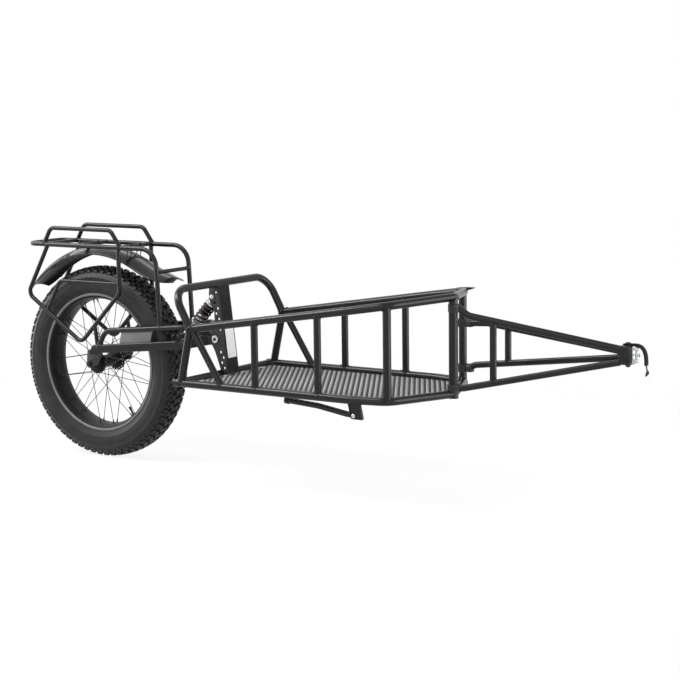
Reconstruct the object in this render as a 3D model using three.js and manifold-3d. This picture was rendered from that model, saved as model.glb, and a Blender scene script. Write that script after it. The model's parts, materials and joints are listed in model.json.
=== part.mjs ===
// A single-wheel cargo trailer that is towed by a bicycle. A sprung swingarm carries a fat wheel, a fender
// and a small rack behind a low tube basket with a mesh floor, and a folding tongue of two flat trusses
// runs forward to a hitch with a universal joint. Millimetres, +X forward, +Y left, +Z up. The origin lies
// on the ground at mid length.
import * as THREE from "three";
import { mergeVertices } from "three/addons/utils/BufferGeometryUtils.js";
import Module from "manifold-3d";

const degree = Math.PI / 180;

// Overall chain: tyre, axle, swingarm pivot, basket, tongue, hitch
const overallLength = 1998;
const tyreRadius = 288;
const tyreWidth = 96;
const swingarmLength = 435;
const pivotRise = 97;
const seatGap = 0.3;
const runningGap = 0.3;
const cutOverrun = 5;
const mergeDistance = 0.001;

const rearX = -overallLength / 2;
const axleX = rearX + tyreRadius;
const axleZ = tyreRadius;
const pivotX = axleX + swingarmLength;
const pivotZ = axleZ + pivotRise;

// Basket rails. The basket and the tongue share the length ahead of the crossbar at the rear of the lower
// rail, and the basket's offsets are shares of its own length, counted forward from that crossbar.
const crossbarAdvance = 17;
const basketShare = 0.60572;
const firstPostShare = 0.34908;
const secondPostShare = 0.62073;
const taperShare = 0.75328;
const shoulderShare = 0.89239;
const railDiameter = 22.2;
const postDiameter = 20;
const nosePostDiameter = 25.4;
const basketHalfWidth = 220;
const shoulderInset = 19;
const rearCornerRadius = 24;
const railEndShare = 0.028;
const taperBendRadius = 150;
const shoulderBendRadius = 55;
const noseBendRadius = 26;
const lowerRailZ = 286.5;
const upperRailRearZ = 441;
const upperRailShoulderZ = 538;
const upperRailNoseZ = 546;

const basketX = pivotX + crossbarAdvance;
const noseOffset = (overallLength / 2 - basketX) * basketShare;
const firstPostOffset = noseOffset * firstPostShare;
const secondPostOffset = noseOffset * secondPostShare;
const taperOffset = noseOffset * taperShare;
const shoulderOffset = noseOffset * shoulderShare;
const shoulderHalfWidth = basketHalfWidth - shoulderInset;
const railRadius = railDiameter / 2;
const nosePostRadius = nosePostDiameter / 2;
const postRadius = postDiameter / 2;
const noseX = basketX + noseOffset;

// Rear hoop and braces
const hoopFootOffset = 10;
const hoopKneeOffset = 45;
const hoopTopOffset = -13;
const hoopTopZ = 546;
const hoopKneeRadius = 45;
const hoopCornerRadius = 55;
const braceTopOffset = 52;
const braceFootOffset = 152;
const braceDiameter = 19;

// Mast: a folded channel that carries the pivot bolt and the top of the shock
const mastWidth = 52;
const mastSheet = 4;
const mastTopZ = 540;
const mastLean = 0.1233;
const mastFootZ = 288;
const mastFootFrontOffset = 27.2;
const mastDepth = 32;
const pivotBoltRadius = 8;
const pivotHeadRadius = 11.5;
const pivotHeadHeight = 5;
const shockBoltRadius = 4;
const shockHeadRadius = 7;
const shockHeadHeight = 4;
const lighteningHoleRadius = 5.5;

// Floor mesh: a sheet of diamond openings inside the lower rail
const meshSheet = 3;
const meshDrop = 6;
const meshBorder = 7;
const meshPitchX = 38;
const meshPitchY = 66;
const meshStrand = 6;

// Swingarm: a flat-sided lower arm and a round upper arm on each side, welded to a pivot sleeve
const armHalfWidth = 75;
const armHeight = 27;
const armThickness = 15;
const armRearRise = 45;
const armFrontRise = 80;
const armBendSetback = 84;
const armNeckSetback = 30;
const armNeckHalfWidth = 13.6;
const armNeckDrop = 6;
const armBendRadius = 30;
const upperArmDiameter = 16;
const upperArmRootAdvance = 32;
const upperArmCornerAdvance = 62;
const upperArmCornerRise = 104;
const upperArmFrontRise = 131;
const upperArmRootRadius = 45;
const upperArmNeckRise = 8;
const sleeveRadius = 14.5;
const sleeveHalfLength = mastWidth / 2 - mastSheet - runningGap;
const gussetSheet = 5;
const gussetRear = 126;
const gussetFront = 233;
const gussetSlope = 12;
const dropoutSheet = 6;
const dropoutRear = 10;
const dropoutFront = 52;
const dropoutBottom = 12;
const crossTubeDiameter = 20;
const crossTubeDrop = 22;
const lugSheet = 4;
const lugInner = 12.5;
const lugRadius = 9;

// Shock: eyes, damper body, collar, coil spring and shaft, along the line between its two eyes
const shockTopSetback = 9;
const shockTopRise = 122;
const shockEyeSetback = 99;
const shockEyeRise = 27;
const eyeRadius = 9;
const eyeHalfWidth = 12;
const damperRadius = 11.5;
const damperLength = 74;
const damperBore = 6;
const shaftRadius = 5;
const collarRadius = 19;
const collarStart = 27;
const collarHeight = 6;
const springCoils = 5;
const springWireRadius = 3.3;
const springRadius = 16;
const lowerPerchSetback = 18;
const perchHeight = 5;

// Wheel
const rimRadius = 203;
const rimDepth = 14;
const rimHalfWidth = 38;
const hubFlangeRadius = 31;
const hubFlangeHalfSpacing = 43;
const hubFlangeThickness = 4;
const hubBarrelRadius = 17;
const hubHalfLength = armHalfWidth - dropoutSheet / 2 - runningGap;
const hubEndRadius = 12;
const axleRadius = 6;
const axleNutRadius = 9;
const axleNutHeight = 9;
const spokesPerSide = 18;
const spokeWidth = 2.4;
const spokeSweep = 62;
const spokeRingWidth = 3;
const spokeRingSheet = 2.4;

// Rack, with heights counted from the axle and places counted back from the swingarm pivot
const rackTubeDiameter = 14;
const rackRearSetback = 668;
const rackBendSetback = 175;
const rackFootSetback = 163;
const rackFrontBendRadius = 55;
const rackRearBendRadius = 28;
const rackCrossSetbacks = { rear: 606, middle: 482, front: 314 };
const rackCrossDiameter = 12;
const legCrossbarDrop = 66;
const rackHoopDiameter = 13;
const rackHoopHeight = 50;
const rackHoopRearTop = 577;
const rackHoopFrontTop = 343;
const rackHoopFrontFoot = 306;
const rackHoopBendRadius = 24;

// Pannier frames that hang at each side of the wheel
const pannierDiameter = 13;
const pannierTopRearSetback = 590;
const pannierRearSetback = 676;
const pannierRearRise = 200;
const pannierLowSetback = 468;
const pannierLowRise = 62;
const pannierFrontSetback = 314;
const pannierFrontRise = 217;
const pannierBendRadius = 24;
const innerFrameDiameter = 11;
const innerFrameRearSetback = 601;
const innerFrameCornerSetback = 547;
const innerFrameRise = 245;
const stubTopSetback = 413;
const stubTopRise = 118;
const stubFootSetback = 405;
const stubFootRise = 58;
const stubDiameter = 12;

// Fender: a crowned sheet round the tyre, under the rack
const fenderClearance = 60.82;
const fenderSheet = 2;
const fenderHalfWidth = 52;
const fenderCrown = 20;
const fenderFrontAngle = 48;
const fenderRearAngle = 136;
const fenderStep = 8;

// Tongue: a right truss from the nose post and a left truss from the left shoulder post
const trussTubeHeight = 18;
const trussTubeWidth = 14;
const hitchY = 95;
const trussEndHalfSpacing = 9;
const hitchBlockSetback = 53;
const hitchBlockLength = 31;
const hitchBlockWidth = 38;
const hitchBlockBottomZ = 387;
const hitchBlockHeight = 50;
const clampThickness = 6;
const clampHeight = 21;
const rightUpper = { rootZ: 516.5, bendAt: 42, bendZ: 498, endZ: 424.5 };
const rightLower = { rootZ: 302, bendAt: 62, bendZ: 306, endZ: 396.5 };
const leftUpper = { rootZ: 450.5, bendAt: 90, bendZ: 456, endZ: 416 };
const leftLower = { rootZ: 325, bendAt: 47, bendZ: 337, endZ: 405 };
const rightStrutAt = 111;
const leftStrutAt = 159;
const trussBendRadius = 30;

// Hitch: a fork on the block, a cross, and the yoke that the bicycle's receiver holds
const jointSetback = 11;
const jointZ = 413;
const crossHalf = 4.4;
const crossHalfHeight = 4.5;
const crossSleeveRadius = 4.2;
const forkEarHalfWidth = 6.5;
const forkEarInner = 12;
const forkEarSheet = 6;
const forkEarReach = 6;
const forkBaseSheet = 2.2;
const forkBaseHalfHeight = 22;
const kingPinRadius = 2.5;
const kingPinHeadRadius = 5.5;
const kingPinHeadHeight = 3;
const yokeEarSheet = 2.3;
const yokeEarRadius = 4;
const yokePinRadius = 1.6;
const yokeBridgeSheet = 2.5;
const hitchBoltSetback = 36;
const hitchBoltRadius = 4;
const hitchBoltHeadRadius = 8;
const hitchBoltHeadHeight = 4;
const hitchBoltTail = 7;

// Safety strap that hangs over the hitch, with its ring
const strapWidth = 13;
const strapSheet = 3;
const clipWidth = 10;
const clipSheet = 6;
const clipHeight = 18;
const ringRadius = 8;
const ringWireRadius = 1.5;

// Side stand under the right lower rail
const standShare = 0.77034;
const standBoltZ = 245;
const standInset = 15;
const standTubeDiameter = 17;
const standLength = 232;
const standAngle = 5.4;
const standFootLength = 14;
const standFootRadius = 10;
const standBracketSheet = 4;
const standBracketHalfWidth = 18;
const standBracketSlope = 10;
const standBoltRadius = 4;
const standHeadRadius = 6;
const standHeadHeight = 3;
const standPlateBelow = 9;

// Finishes
const blackPaint = { color: 0x1b1b1c, roughness: 0.45, metalness: 0.2 };
const greyPaint = { color: 0x3a3a3b, roughness: 0.5, metalness: 0.3 };
const steel = { color: 0xb9bbbd, roughness: 0.3, metalness: 0.9 };
const meshSteel = { color: 0x8d8d8e, roughness: 0.45, metalness: 0.7 };
const rubber = { color: 0x161616, roughness: 0.9, metalness: 0 };
const blackPlastic = { color: 0x202022, roughness: 0.6, metalness: 0 };
const springPaint = { color: 0x3a2b29, roughness: 0.45, metalness: 0.3 };

const wasm = await Module();
wasm.setup();

// The geometry with its points shared between faces, and nothing but positions.
function sharedPoints(geometry) {
  const bare = geometry.clone();
  for (const name of Object.keys(bare.attributes)) if (name !== "position") bare.deleteAttribute(name);
  return mergeVertices(bare, mergeDistance);
}

// A geometry as a solid that can be cut or joined, and back.
function solidOf(geometry) {
  const merged = sharedPoints(geometry);
  const vertProperties = merged.attributes.position.array;
  const triVerts = new Uint32Array(merged.index.array);
  return new wasm.Manifold(new wasm.Mesh({ numProp: 3, vertProperties, triVerts }));
}

function geometryOf(solid) {
  const mesh = solid.getMesh();
  const geometry = new THREE.BufferGeometry();
  geometry.setAttribute("position", new THREE.BufferAttribute(mesh.vertProperties, 3));
  geometry.setIndex(new THREE.BufferAttribute(mesh.triVerts, 1));
  return geometry;
}

function join(...geometries) {
  return geometryOf(geometries.map(solidOf).reduce((whole, piece) => whole.add(piece)));
}

function cut(geometry, ...cutters) {
  return geometryOf(cutters.map(solidOf).reduce((whole, cutter) => whole.subtract(cutter), solidOf(geometry)));
}

const point = (x, y, z) => new THREE.Vector3(x, y, z);

// A path of straight runs and round bends, with a station only where its direction changes. Its frames are
// carried along without twist from a first side direction.
class BentPath extends THREE.Curve {
  constructor(stations, side) {
    super();
    this.stations = stations;
    this.side = side;
  }

  get steps() {
    return this.stations.length - 1;
  }

  getPoint(t, target = new THREE.Vector3()) {
    const place = t * this.steps;
    const i = Math.min(Math.floor(place), this.steps - 1);
    return target.lerpVectors(this.stations[i], this.stations[i + 1], place - i);
  }

  getUtoTmapping(u) {
    return u;
  }

  computeFrenetFrames() {
    const runs = this.stations.slice(1).map((p, i) => p.clone().sub(this.stations[i]).normalize());
    const tangents = this.stations.map((_, i) => {
      const before = runs[Math.max(i - 1, 0)];
      const after = runs[Math.min(i, runs.length - 1)];
      return before.clone().add(after).normalize();
    });
    const first = this.side.clone().addScaledVector(tangents[0], -this.side.dot(tangents[0])).normalize();
    const normals = [first];
    for (let i = 1; i < tangents.length; i++) {
      const turn = new THREE.Quaternion().setFromUnitVectors(tangents[i - 1], tangents[i]);
      normals.push(normals[i - 1].clone().applyQuaternion(turn));
    }
    const binormals = tangents.map((t, i) => t.clone().cross(normals[i]));
    return { tangents, normals, binormals };
  }
}

// Corner points with a bend radius at each inner corner, or one radius for all, become a BentPath.
function bent(corners, radius, side = point(0, 1, 0), stepAngle = 23 * degree) {
  const stations = [corners[0]];
  corners.slice(1, -1).forEach((corner, i) => {
    const before = corner.clone().sub(corners[i]).normalize();
    const after = corners[i + 2].clone().sub(corner).normalize();
    const turn = before.angleTo(after);
    const bendRadius = Array.isArray(radius) ? radius[i] : radius;
    const inward = after.clone().addScaledVector(before, -after.dot(before)).normalize();
    const start = corner.clone().addScaledVector(before, -bendRadius * Math.tan(turn / 2));
    const centre = start.clone().addScaledVector(inward, bendRadius);
    const steps = Math.max(1, Math.ceil(turn / stepAngle));
    for (let k = 0; k <= steps; k++) {
      const angle = (turn * k) / steps;
      stations.push(
        centre
          .clone()
          .addScaledVector(inward, -bendRadius * Math.cos(angle))
          .addScaledVector(before, bendRadius * Math.sin(angle)),
      );
    }
  });
  stations.push(corners[corners.length - 1]);
  return new BentPath(stations, side);
}

// The middle of the bend at a corner between two neighbours.
function bendMiddle(before, corner, after, radius) {
  const toBefore = before.clone().sub(corner).normalize();
  const toAfter = after.clone().sub(corner).normalize();
  const half = toBefore.angleTo(toAfter) / 2;
  const inward = toBefore.add(toAfter).normalize();
  return corner.clone().addScaledVector(inward, radius / Math.sin(half) - radius);
}

const straight = (from, to, side) => bent([from, to], 0, side);

function polygon(points) {
  return new THREE.Shape(points.map(([x, y]) => new THREE.Vector2(x, y)));
}

function roundSection(radius, sides = 8) {
  const points = [];
  for (let i = 0; i < sides; i++) {
    const angle = ((i + 0.5) / sides) * 2 * Math.PI;
    points.push([radius * Math.cos(angle), radius * Math.sin(angle)]);
  }
  return polygon(points);
}

// A flat-sided section with its corners cut by a quarter of its narrow side.
function flatSection(width, height) {
  const [w, h, c] = [width / 2, height / 2, Math.min(width, height) / 4];
  return polygon([
    [w, c - h], [w, h - c], [w - c, h], [c - w, h], [-w, h - c], [-w, c - h], [c - w, -h], [w - c, -h],
  ]);
}

function sweep(section, path) {
  return new THREE.ExtrudeGeometry(section, { extrudePath: path, steps: path.steps, bevelEnabled: false });
}

const tube = (radius, path, sides) => sweep(roundSection(radius, sides), path);

// A round bar or, with a bore, a ring about a line parallel to Y.
function acrossBar(radius, x, z, fromY, toY, bore = 0, sides = 16) {
  const section = roundSection(radius, sides);
  if (bore > 0) section.holes.push(new THREE.Path(roundSection(bore, sides).getPoints().reverse()));
  const bar = new THREE.ExtrudeGeometry(section, { depth: toY - fromY, bevelEnabled: false });
  return bar.rotateX(Math.PI / 2).translate(x, toY, z);
}

// The same about a line parallel to Z.
function uprightBar(radius, x, y, fromZ, toZ, bore = 0, sides = 12) {
  const section = roundSection(radius, sides);
  if (bore > 0) section.holes.push(new THREE.Path(roundSection(bore, sides).getPoints().reverse()));
  const bar = new THREE.ExtrudeGeometry(section, { depth: toZ - fromZ, bevelEnabled: false });
  return bar.translate(x, y, fromZ);
}

// A side view outline, given as X and Z, as a sheet between two Y planes. The flats of a hole touch its circle.
function sidePlate(outline, fromY, toY, holes = []) {
  const shape = polygon(outline);
  const holeSides = 8;
  for (const [x, z, radius] of holes) {
    const corners = roundSection(radius / Math.cos(Math.PI / holeSides), holeSides).getPoints();
    const rim = corners.map((p) => p.add(new THREE.Vector2(x, z)));
    shape.holes.push(new THREE.Path(rim.reverse()));
  }
  const plate = new THREE.ExtrudeGeometry(shape, { depth: toY - fromY, bevelEnabled: false });
  return plate.rotateX(Math.PI / 2).translate(0, toY, 0);
}

function box(fromX, toX, fromY, toY, fromZ, toZ) {
  const block = new THREE.BoxGeometry(toX - fromX, toY - fromY, toZ - fromZ);
  return block.translate((fromX + toX) / 2, (fromY + toY) / 2, (fromZ + toZ) / 2);
}

// A turned piece: a closed profile of radius and place along the line, about the line from a point.
function turned(profile, from, to, segments = 16) {
  const lathe = sharedPoints(
    new THREE.LatheGeometry(profile.map(([r, along]) => new THREE.Vector2(r, along)), segments),
  );
  const turn = new THREE.Quaternion().setFromUnitVectors(point(0, 1, 0), to.clone().sub(from).normalize());
  return lathe.applyQuaternion(turn).translate(from.x, from.y, from.z);
}

const trailer = new THREE.Group();

function add(name, geometry, finish) {
  const mesh = new THREE.Mesh(geometry, new THREE.MeshStandardMaterial(finish));
  mesh.name = name;
  trailer.add(mesh);
}

const sides = { right: -1, left: 1 };

// Rails

function railPath(heightAt) {
  const plan = [
    [0, basketHalfWidth],
    [taperOffset, basketHalfWidth],
    [shoulderOffset, shoulderHalfWidth],
  ];
  const leftSide = plan.map(([offset, y]) => point(basketX + offset, y, heightAt(offset)));
  const rightSide = leftSide.map((p) => point(p.x, -p.y, p.z)).reverse();
  const nose = point(noseX, 0, heightAt(noseOffset));
  const radii = [taperBendRadius, shoulderBendRadius];
  return bent([...leftSide, nose, ...rightSide], [...radii, noseBendRadius, ...radii.reverse()], point(0, 0, 1));
}

const upperSlope = (upperRailShoulderZ - upperRailRearZ) / (shoulderOffset - hoopKneeOffset);
const noseSlope = (upperRailNoseZ - upperRailShoulderZ) / (noseOffset - shoulderOffset);

function upperHeight(offset) {
  if (offset > shoulderOffset) return upperRailShoulderZ + noseSlope * (offset - shoulderOffset);
  return upperRailRearZ + upperSlope * (offset - hoopKneeOffset);
}

const upperPath = railPath(upperHeight);
upperPath.stations[0].set(basketX + hoopKneeOffset, basketHalfWidth, upperRailRearZ);
upperPath.stations[upperPath.steps].set(basketX + hoopKneeOffset, -basketHalfWidth, upperRailRearZ);

// The lower rail is one tube that starts and ends at the nose post and crosses over at the rear.
const shoulder = bendMiddle(
  point(basketX + taperOffset, basketHalfWidth, 0),
  point(basketX + shoulderOffset, shoulderHalfWidth, 0),
  point(noseX, 0, 0),
  shoulderBendRadius,
);
const nosePost = bendMiddle(
  point(basketX + shoulderOffset, shoulderHalfWidth, 0),
  point(noseX, 0, 0),
  point(basketX + shoulderOffset, -shoulderHalfWidth, 0),
  noseBendRadius,
);
const lowerSide = [
  [nosePost.x + (shoulderOffset - noseOffset) * railEndShare, shoulderHalfWidth * railEndShare],
  [basketX + shoulderOffset, shoulderHalfWidth],
  [basketX + taperOffset, basketHalfWidth],
  [basketX, basketHalfWidth],
];
const lowerPath = bent(
  [
    ...lowerSide.map(([x, y]) => point(x, -y, lowerRailZ)),
    ...lowerSide.map(([x, y]) => point(x, y, lowerRailZ)).reverse(),
  ],
  [shoulderBendRadius, taperBendRadius, rearCornerRadius, rearCornerRadius, taperBendRadius, shoulderBendRadius],
  point(0, 0, 1),
);

const rearHoopCorners = [
  [hoopFootOffset, lowerRailZ],
  [hoopKneeOffset, upperRailRearZ],
  [hoopTopOffset, hoopTopZ],
];
const hoopRight = rearHoopCorners.map(([offset, z]) => point(basketX + offset, -basketHalfWidth, z));
const hoopLeft = rearHoopCorners.map(([offset, z]) => point(basketX + offset, basketHalfWidth, z)).reverse();
const hoopPath = bent(
  [...hoopRight, ...hoopLeft],
  [hoopKneeRadius, hoopCornerRadius, hoopCornerRadius, hoopKneeRadius],
);

const nosePostBottom = lowerRailZ - railRadius - runningGap;
const nosePostCutter = uprightBar(
  nosePostRadius + seatGap, nosePost.x, nosePost.y, nosePostBottom - cutOverrun, upperRailNoseZ, 0, 16,
);
const lowerRail = cut(tube(railRadius, lowerPath), nosePostCutter);
const lowerRailCutter = tube(railRadius + seatGap, lowerPath);
const hoopCutter = tube(railRadius + seatGap, hoopPath);
const upperRailCutter = tube(railRadius + seatGap, upperPath);

add("lower_rail", lowerRail, blackPaint);
add("rear_hoop", cut(tube(railRadius, hoopPath), lowerRailCutter), blackPaint);
add("upper_rail", cut(tube(railRadius, upperPath), hoopCutter), blackPaint);

// Posts and braces

function post(x, y, radius) {
  const top = upperHeight(x - basketX);
  const whole = tube(radius, straight(point(x, y, lowerRailZ), point(x, y, top)));
  return cut(whole, lowerRailCutter, upperRailCutter);
}

for (const [side, sign] of Object.entries(sides)) {
  add("side_post_rear_" + side, post(basketX + firstPostOffset, sign * basketHalfWidth, postRadius), blackPaint);
  add("side_post_front_" + side, post(basketX + secondPostOffset, sign * basketHalfWidth, postRadius), blackPaint);
  add("shoulder_post_" + side, post(shoulder.x, sign * shoulder.y, railRadius), blackPaint);
}
const nosePostSolid = uprightBar(nosePostRadius, nosePost.x, nosePost.y, nosePostBottom, upperRailNoseZ, 0, 16);
add("nose_post", cut(nosePostSolid, upperRailCutter), blackPaint);

for (const [side, sign] of Object.entries(sides)) {
  const top = point(basketX + braceTopOffset, sign * basketHalfWidth, upperHeight(braceTopOffset));
  const foot = point(basketX + braceFootOffset, sign * basketHalfWidth, lowerRailZ);
  const brace = tube(braceDiameter / 2, straight(foot, top));
  add("rear_brace_" + side, cut(brace, lowerRailCutter, upperRailCutter, hoopCutter), blackPaint);
}

// Floor mesh

// The border follows the inside of the lower rail.
const railHalfChord = Math.sqrt(railRadius ** 2 - (meshDrop - meshSheet / 2) ** 2);
const meshInset = railHalfChord + seatGap;
const meshRearX = basketX + meshInset;

function meshOutline(extra) {
  const all = lowerPath.stations;
  const outline = all.map((station, i) => {
    const before = station.clone().sub(all[i - 1] ?? station);
    const after = (all[i + 1] ?? station).clone().sub(station);
    const half = before.length() && after.length() ? before.angleTo(after) / 2 : 0;
    const along = before.normalize().add(after.normalize()).normalize();
    const inset = (meshInset + extra) / Math.cos(half);
    return [station.x + along.y * inset, station.y - along.x * inset];
  });
  return outline;
}

function inside(outline, x, y) {
  let odd = false;
  outline.forEach(([x1, y1], i) => {
    const [x2, y2] = outline[(i + 1) % outline.length];
    if (y1 > y !== y2 > y && x < x1 + ((y - y1) / (y2 - y1)) * (x2 - x1)) odd = !odd;
  });
  return odd;
}

const meshShape = polygon(meshOutline(0).reverse());
const meshField = meshOutline(meshBorder);
const halfDiamond = [(meshPitchX - meshStrand) / 2, (meshPitchY - meshStrand) / 2];
const diamondColumns = Math.floor((noseX - meshRearX) / (meshPitchX / 2));
const diamondRows = Math.ceil(basketHalfWidth / meshPitchY);
for (let column = 1; column < diamondColumns; column++) {
  const x = meshRearX + meshBorder + column * (meshPitchX / 2);
  for (let row = -diamondRows; row <= diamondRows; row++) {
    const y = (row + (column % 2) / 2) * meshPitchY;
    const corners = [
      [x - halfDiamond[0], y], [x, y + halfDiamond[1]], [x + halfDiamond[0], y], [x, y - halfDiamond[1]],
    ];
    if (!corners.every(([cx, cy]) => inside(meshField, cx, cy))) continue;
    meshShape.holes.push(new THREE.Path(corners.map(([cx, cy]) => new THREE.Vector2(cx, cy))));
  }
}
const meshGeometry = new THREE.ExtrudeGeometry(meshShape, { depth: meshSheet, bevelEnabled: false });
meshGeometry.translate(0, 0, lowerRailZ - meshDrop - meshSheet / 2);
add("floor_mesh", cut(meshGeometry, nosePostCutter), meshSteel);

// Mast

const mastFootX = basketX + mastFootFrontOffset;
const mastFrontAt = (z) => mastFootX - mastLean * (z - mastFootZ);
const shockTopX = pivotX - shockTopSetback;
const shockTopZ = pivotZ + shockTopRise;
const mastHeight = mastTopZ - mastFootZ;

// Rear edge of the folded flanges: shares of the mast's height and of the depth behind its front face.
const flangeShares = [
  [1, 1], [0.9, 1.16], [0.82, 1.16], [0.7, 0.79], [0.58, 0.87], [0.45, 1.44], [0.32, 1.5], [0.25, 1.24], [0, 0.76],
];
const flangeRear = flangeShares.map(([up, back]) => {
  const z = mastFootZ + up * mastHeight;
  return [mastFrontAt(z) - back * mastDepth, z];
});
const flangeOutline = [[mastFootX, mastFootZ], [mastFrontAt(mastTopZ), mastTopZ], ...flangeRear];
const holeShares = [0.12, 0.2, 0.54, 0.62, 0.7, 0.9];
const flangeHoles = [
  [pivotX, pivotZ, pivotBoltRadius + seatGap],
  [shockTopX, shockTopZ, shockBoltRadius + seatGap],
  ...holeShares.map((up) => {
    const z = mastFootZ + up * mastHeight;
    return [mastFrontAt(z) - mastDepth / 2, z, lighteningHoleRadius];
  }),
];
const webOutline = [
  [mastFootX, mastFootZ], [mastFrontAt(mastTopZ), mastTopZ],
  [mastFrontAt(mastTopZ) - mastSheet, mastTopZ], [mastFootX - mastSheet, mastFootZ],
];
const mastHalf = mastWidth / 2;
const mast = join(
  sidePlate(webOutline, -mastHalf, mastHalf),
  sidePlate(flangeOutline, -mastHalf, mastSheet - mastHalf, flangeHoles),
  sidePlate(flangeOutline, mastHalf - mastSheet, mastHalf, flangeHoles),
);
add("mast_channel", cut(mast, hoopCutter, lowerRailCutter), greyPaint);

function headedBolt(radius, headRadius, headHeight, x, z, halfLength, sides = 12) {
  return join(
    acrossBar(radius, x, z, -halfLength - seatGap - headHeight / 2, halfLength + seatGap + headHeight / 2, 0, sides),
    acrossBar(headRadius, x, z, -halfLength - seatGap - headHeight, -halfLength - seatGap, 0, sides),
    acrossBar(headRadius, x, z, halfLength + seatGap, halfLength + seatGap + headHeight, 0, sides),
  );
}

add("pivot_bolt", headedBolt(pivotBoltRadius, pivotHeadRadius, pivotHeadHeight, pivotX, pivotZ, mastHalf, 16), steel);
add("shock_top_bolt", headedBolt(shockBoltRadius, shockHeadRadius, shockHeadHeight, shockTopX, shockTopZ, mastHalf), steel);

// Swingarm

const sleeveCutter = acrossBar(sleeveRadius + seatGap, pivotX, pivotZ, -armHalfWidth, armHalfWidth);
add(
  "pivot_sleeve",
  acrossBar(sleeveRadius, pivotX, pivotZ, -sleeveHalfLength, sleeveHalfLength, pivotBoltRadius + runningGap),
  blackPaint,
);

const armBendX = pivotX - armBendSetback;
const armSlope = (armFrontRise - armRearRise) / (swingarmLength - armBendSetback);
const armZAt = (x) => axleZ + armRearRise + armSlope * (x - axleX);

const rackRadius = rackTubeDiameter / 2;

// The rack's middle bar rests on the fender, which clears the tyre.
const rackCrossRadius = rackCrossDiameter / 2;
const middleBarX = pivotX - rackCrossSetbacks.middle;
const fenderRadius = tyreRadius + fenderClearance;
const rackRise = Math.sqrt((fenderRadius + seatGap + rackCrossRadius) ** 2 - (middleBarX - axleX) ** 2);
const rackZ = axleZ + rackRise;
const pannierPoint = (sign, setback, rise) => point(pivotX - setback, sign * armHalfWidth, axleZ + rise);

function pannierPath(sign) {
  return bent(
    [
      pannierPoint(sign, pannierTopRearSetback, rackRise),
      pannierPoint(sign, pannierRearSetback, pannierRearRise),
      pannierPoint(sign, pannierLowSetback, pannierLowRise),
      pannierPoint(sign, pannierFrontSetback, pannierFrontRise),
      pannierPoint(sign, pannierFrontSetback, rackRise),
    ],
    pannierBendRadius,
  );
}

const shockEyeX = pivotX - shockEyeSetback;
const shockEyeZ = pivotZ + shockEyeRise;
const crossTubeZ = shockEyeZ - crossTubeDrop;
const upperArmRadius = upperArmDiameter / 2;

function armSolid(sign) {
  const y = sign * armHalfWidth;
  const neckY = sign * armNeckHalfWidth;
  const lower = sweep(
    flatSection(armThickness, armHeight),
    bent(
      [
        point(axleX, y, armZAt(axleX)),
        point(armBendX, y, armZAt(armBendX)),
        point(pivotX - armNeckSetback, neckY, pivotZ - armNeckDrop),
        point(pivotX, neckY, pivotZ - armNeckDrop),
      ],
      [armBendRadius, armNeckHalfWidth],
    ),
  );
  const upper = tube(
    upperArmRadius,
    bent(
      [
        point(axleX + upperArmRootAdvance, y, armZAt(axleX + upperArmRootAdvance)),
        point(axleX + upperArmCornerAdvance, y, axleZ + upperArmCornerRise),
        point(armBendX, y, axleZ + upperArmFrontRise),
        point(pivotX - armNeckSetback, neckY, pivotZ + 2 * upperArmNeckRise),
        point(pivotX, neckY, pivotZ + upperArmNeckRise),
      ],
      [upperArmRootRadius, armBendRadius, armNeckHalfWidth],
    ),
  );
  const gussetTop = (x) => axleZ + upperArmCornerRise + (upperArmFrontRise - upperArmCornerRise) * ((x - axleX) / swingarmLength);
  const gusset = sidePlate(
    [
      [axleX + gussetRear - gussetSlope, armZAt(axleX)],
      [axleX + gussetFront, armZAt(axleX)],
      [axleX + gussetFront + gussetSlope, gussetTop(axleX + gussetFront)],
      [axleX + gussetRear, gussetTop(axleX + gussetRear)],
    ],
    y - gussetSheet / 2,
    y + gussetSheet / 2,
  );
  const dropout = sidePlate(
    [
      [axleX - dropoutRear, axleZ - dropoutBottom / 2],
      [axleX, axleZ - dropoutBottom],
      [axleX + dropoutBottom, axleZ - dropoutBottom],
      [axleX + dropoutFront, armZAt(axleX)],
      [axleX + dropoutBottom, armZAt(axleX)],
      [axleX - dropoutBottom / 2, armZAt(axleX)],
    ],
    y - dropoutSheet / 2,
    y + dropoutSheet / 2,
    [[axleX, axleZ, axleRadius + seatGap]],
  );
  const stub = tube(
    stubDiameter / 2,
    straight(pannierPoint(sign, stubFootSetback, stubFootRise), pannierPoint(sign, stubTopSetback, stubTopRise)),
  );
  const pannierCutter = tube(pannierDiameter / 2 + seatGap, pannierPath(sign));
  return cut(join(lower, upper, gusset, dropout, stub), sleeveCutter, pannierCutter);
}

const armInnerY = armHalfWidth - armThickness / 2 - seatGap;
for (const [side, sign] of Object.entries(sides)) add("swingarm_" + side, armSolid(sign), blackPaint);

const lugOutline = [
  [shockEyeX - lugRadius, crossTubeZ], [shockEyeX + lugRadius, crossTubeZ],
  [shockEyeX + lugRadius, shockEyeZ + lugRadius / 2], [shockEyeX + lugRadius / 2, shockEyeZ + lugRadius],
  [shockEyeX - lugRadius / 2, shockEyeZ + lugRadius], [shockEyeX - lugRadius, shockEyeZ + lugRadius / 2],
];
const lugHole = [[shockEyeX, shockEyeZ, shockBoltRadius + seatGap]];
const lugOuter = lugInner + lugSheet;
const crossTube = join(
  acrossBar(crossTubeDiameter / 2, shockEyeX, crossTubeZ, -armInnerY, armInnerY, 0, 8),
  sidePlate(lugOutline, lugInner, lugOuter, lugHole),
  sidePlate(lugOutline, -lugOuter, -lugInner, lugHole),
);
add("swingarm_cross_tube", crossTube, blackPaint);
add("shock_lower_bolt", headedBolt(shockBoltRadius, shockHeadRadius, shockHeadHeight, shockEyeX, shockEyeZ, lugOuter), steel);

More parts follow.
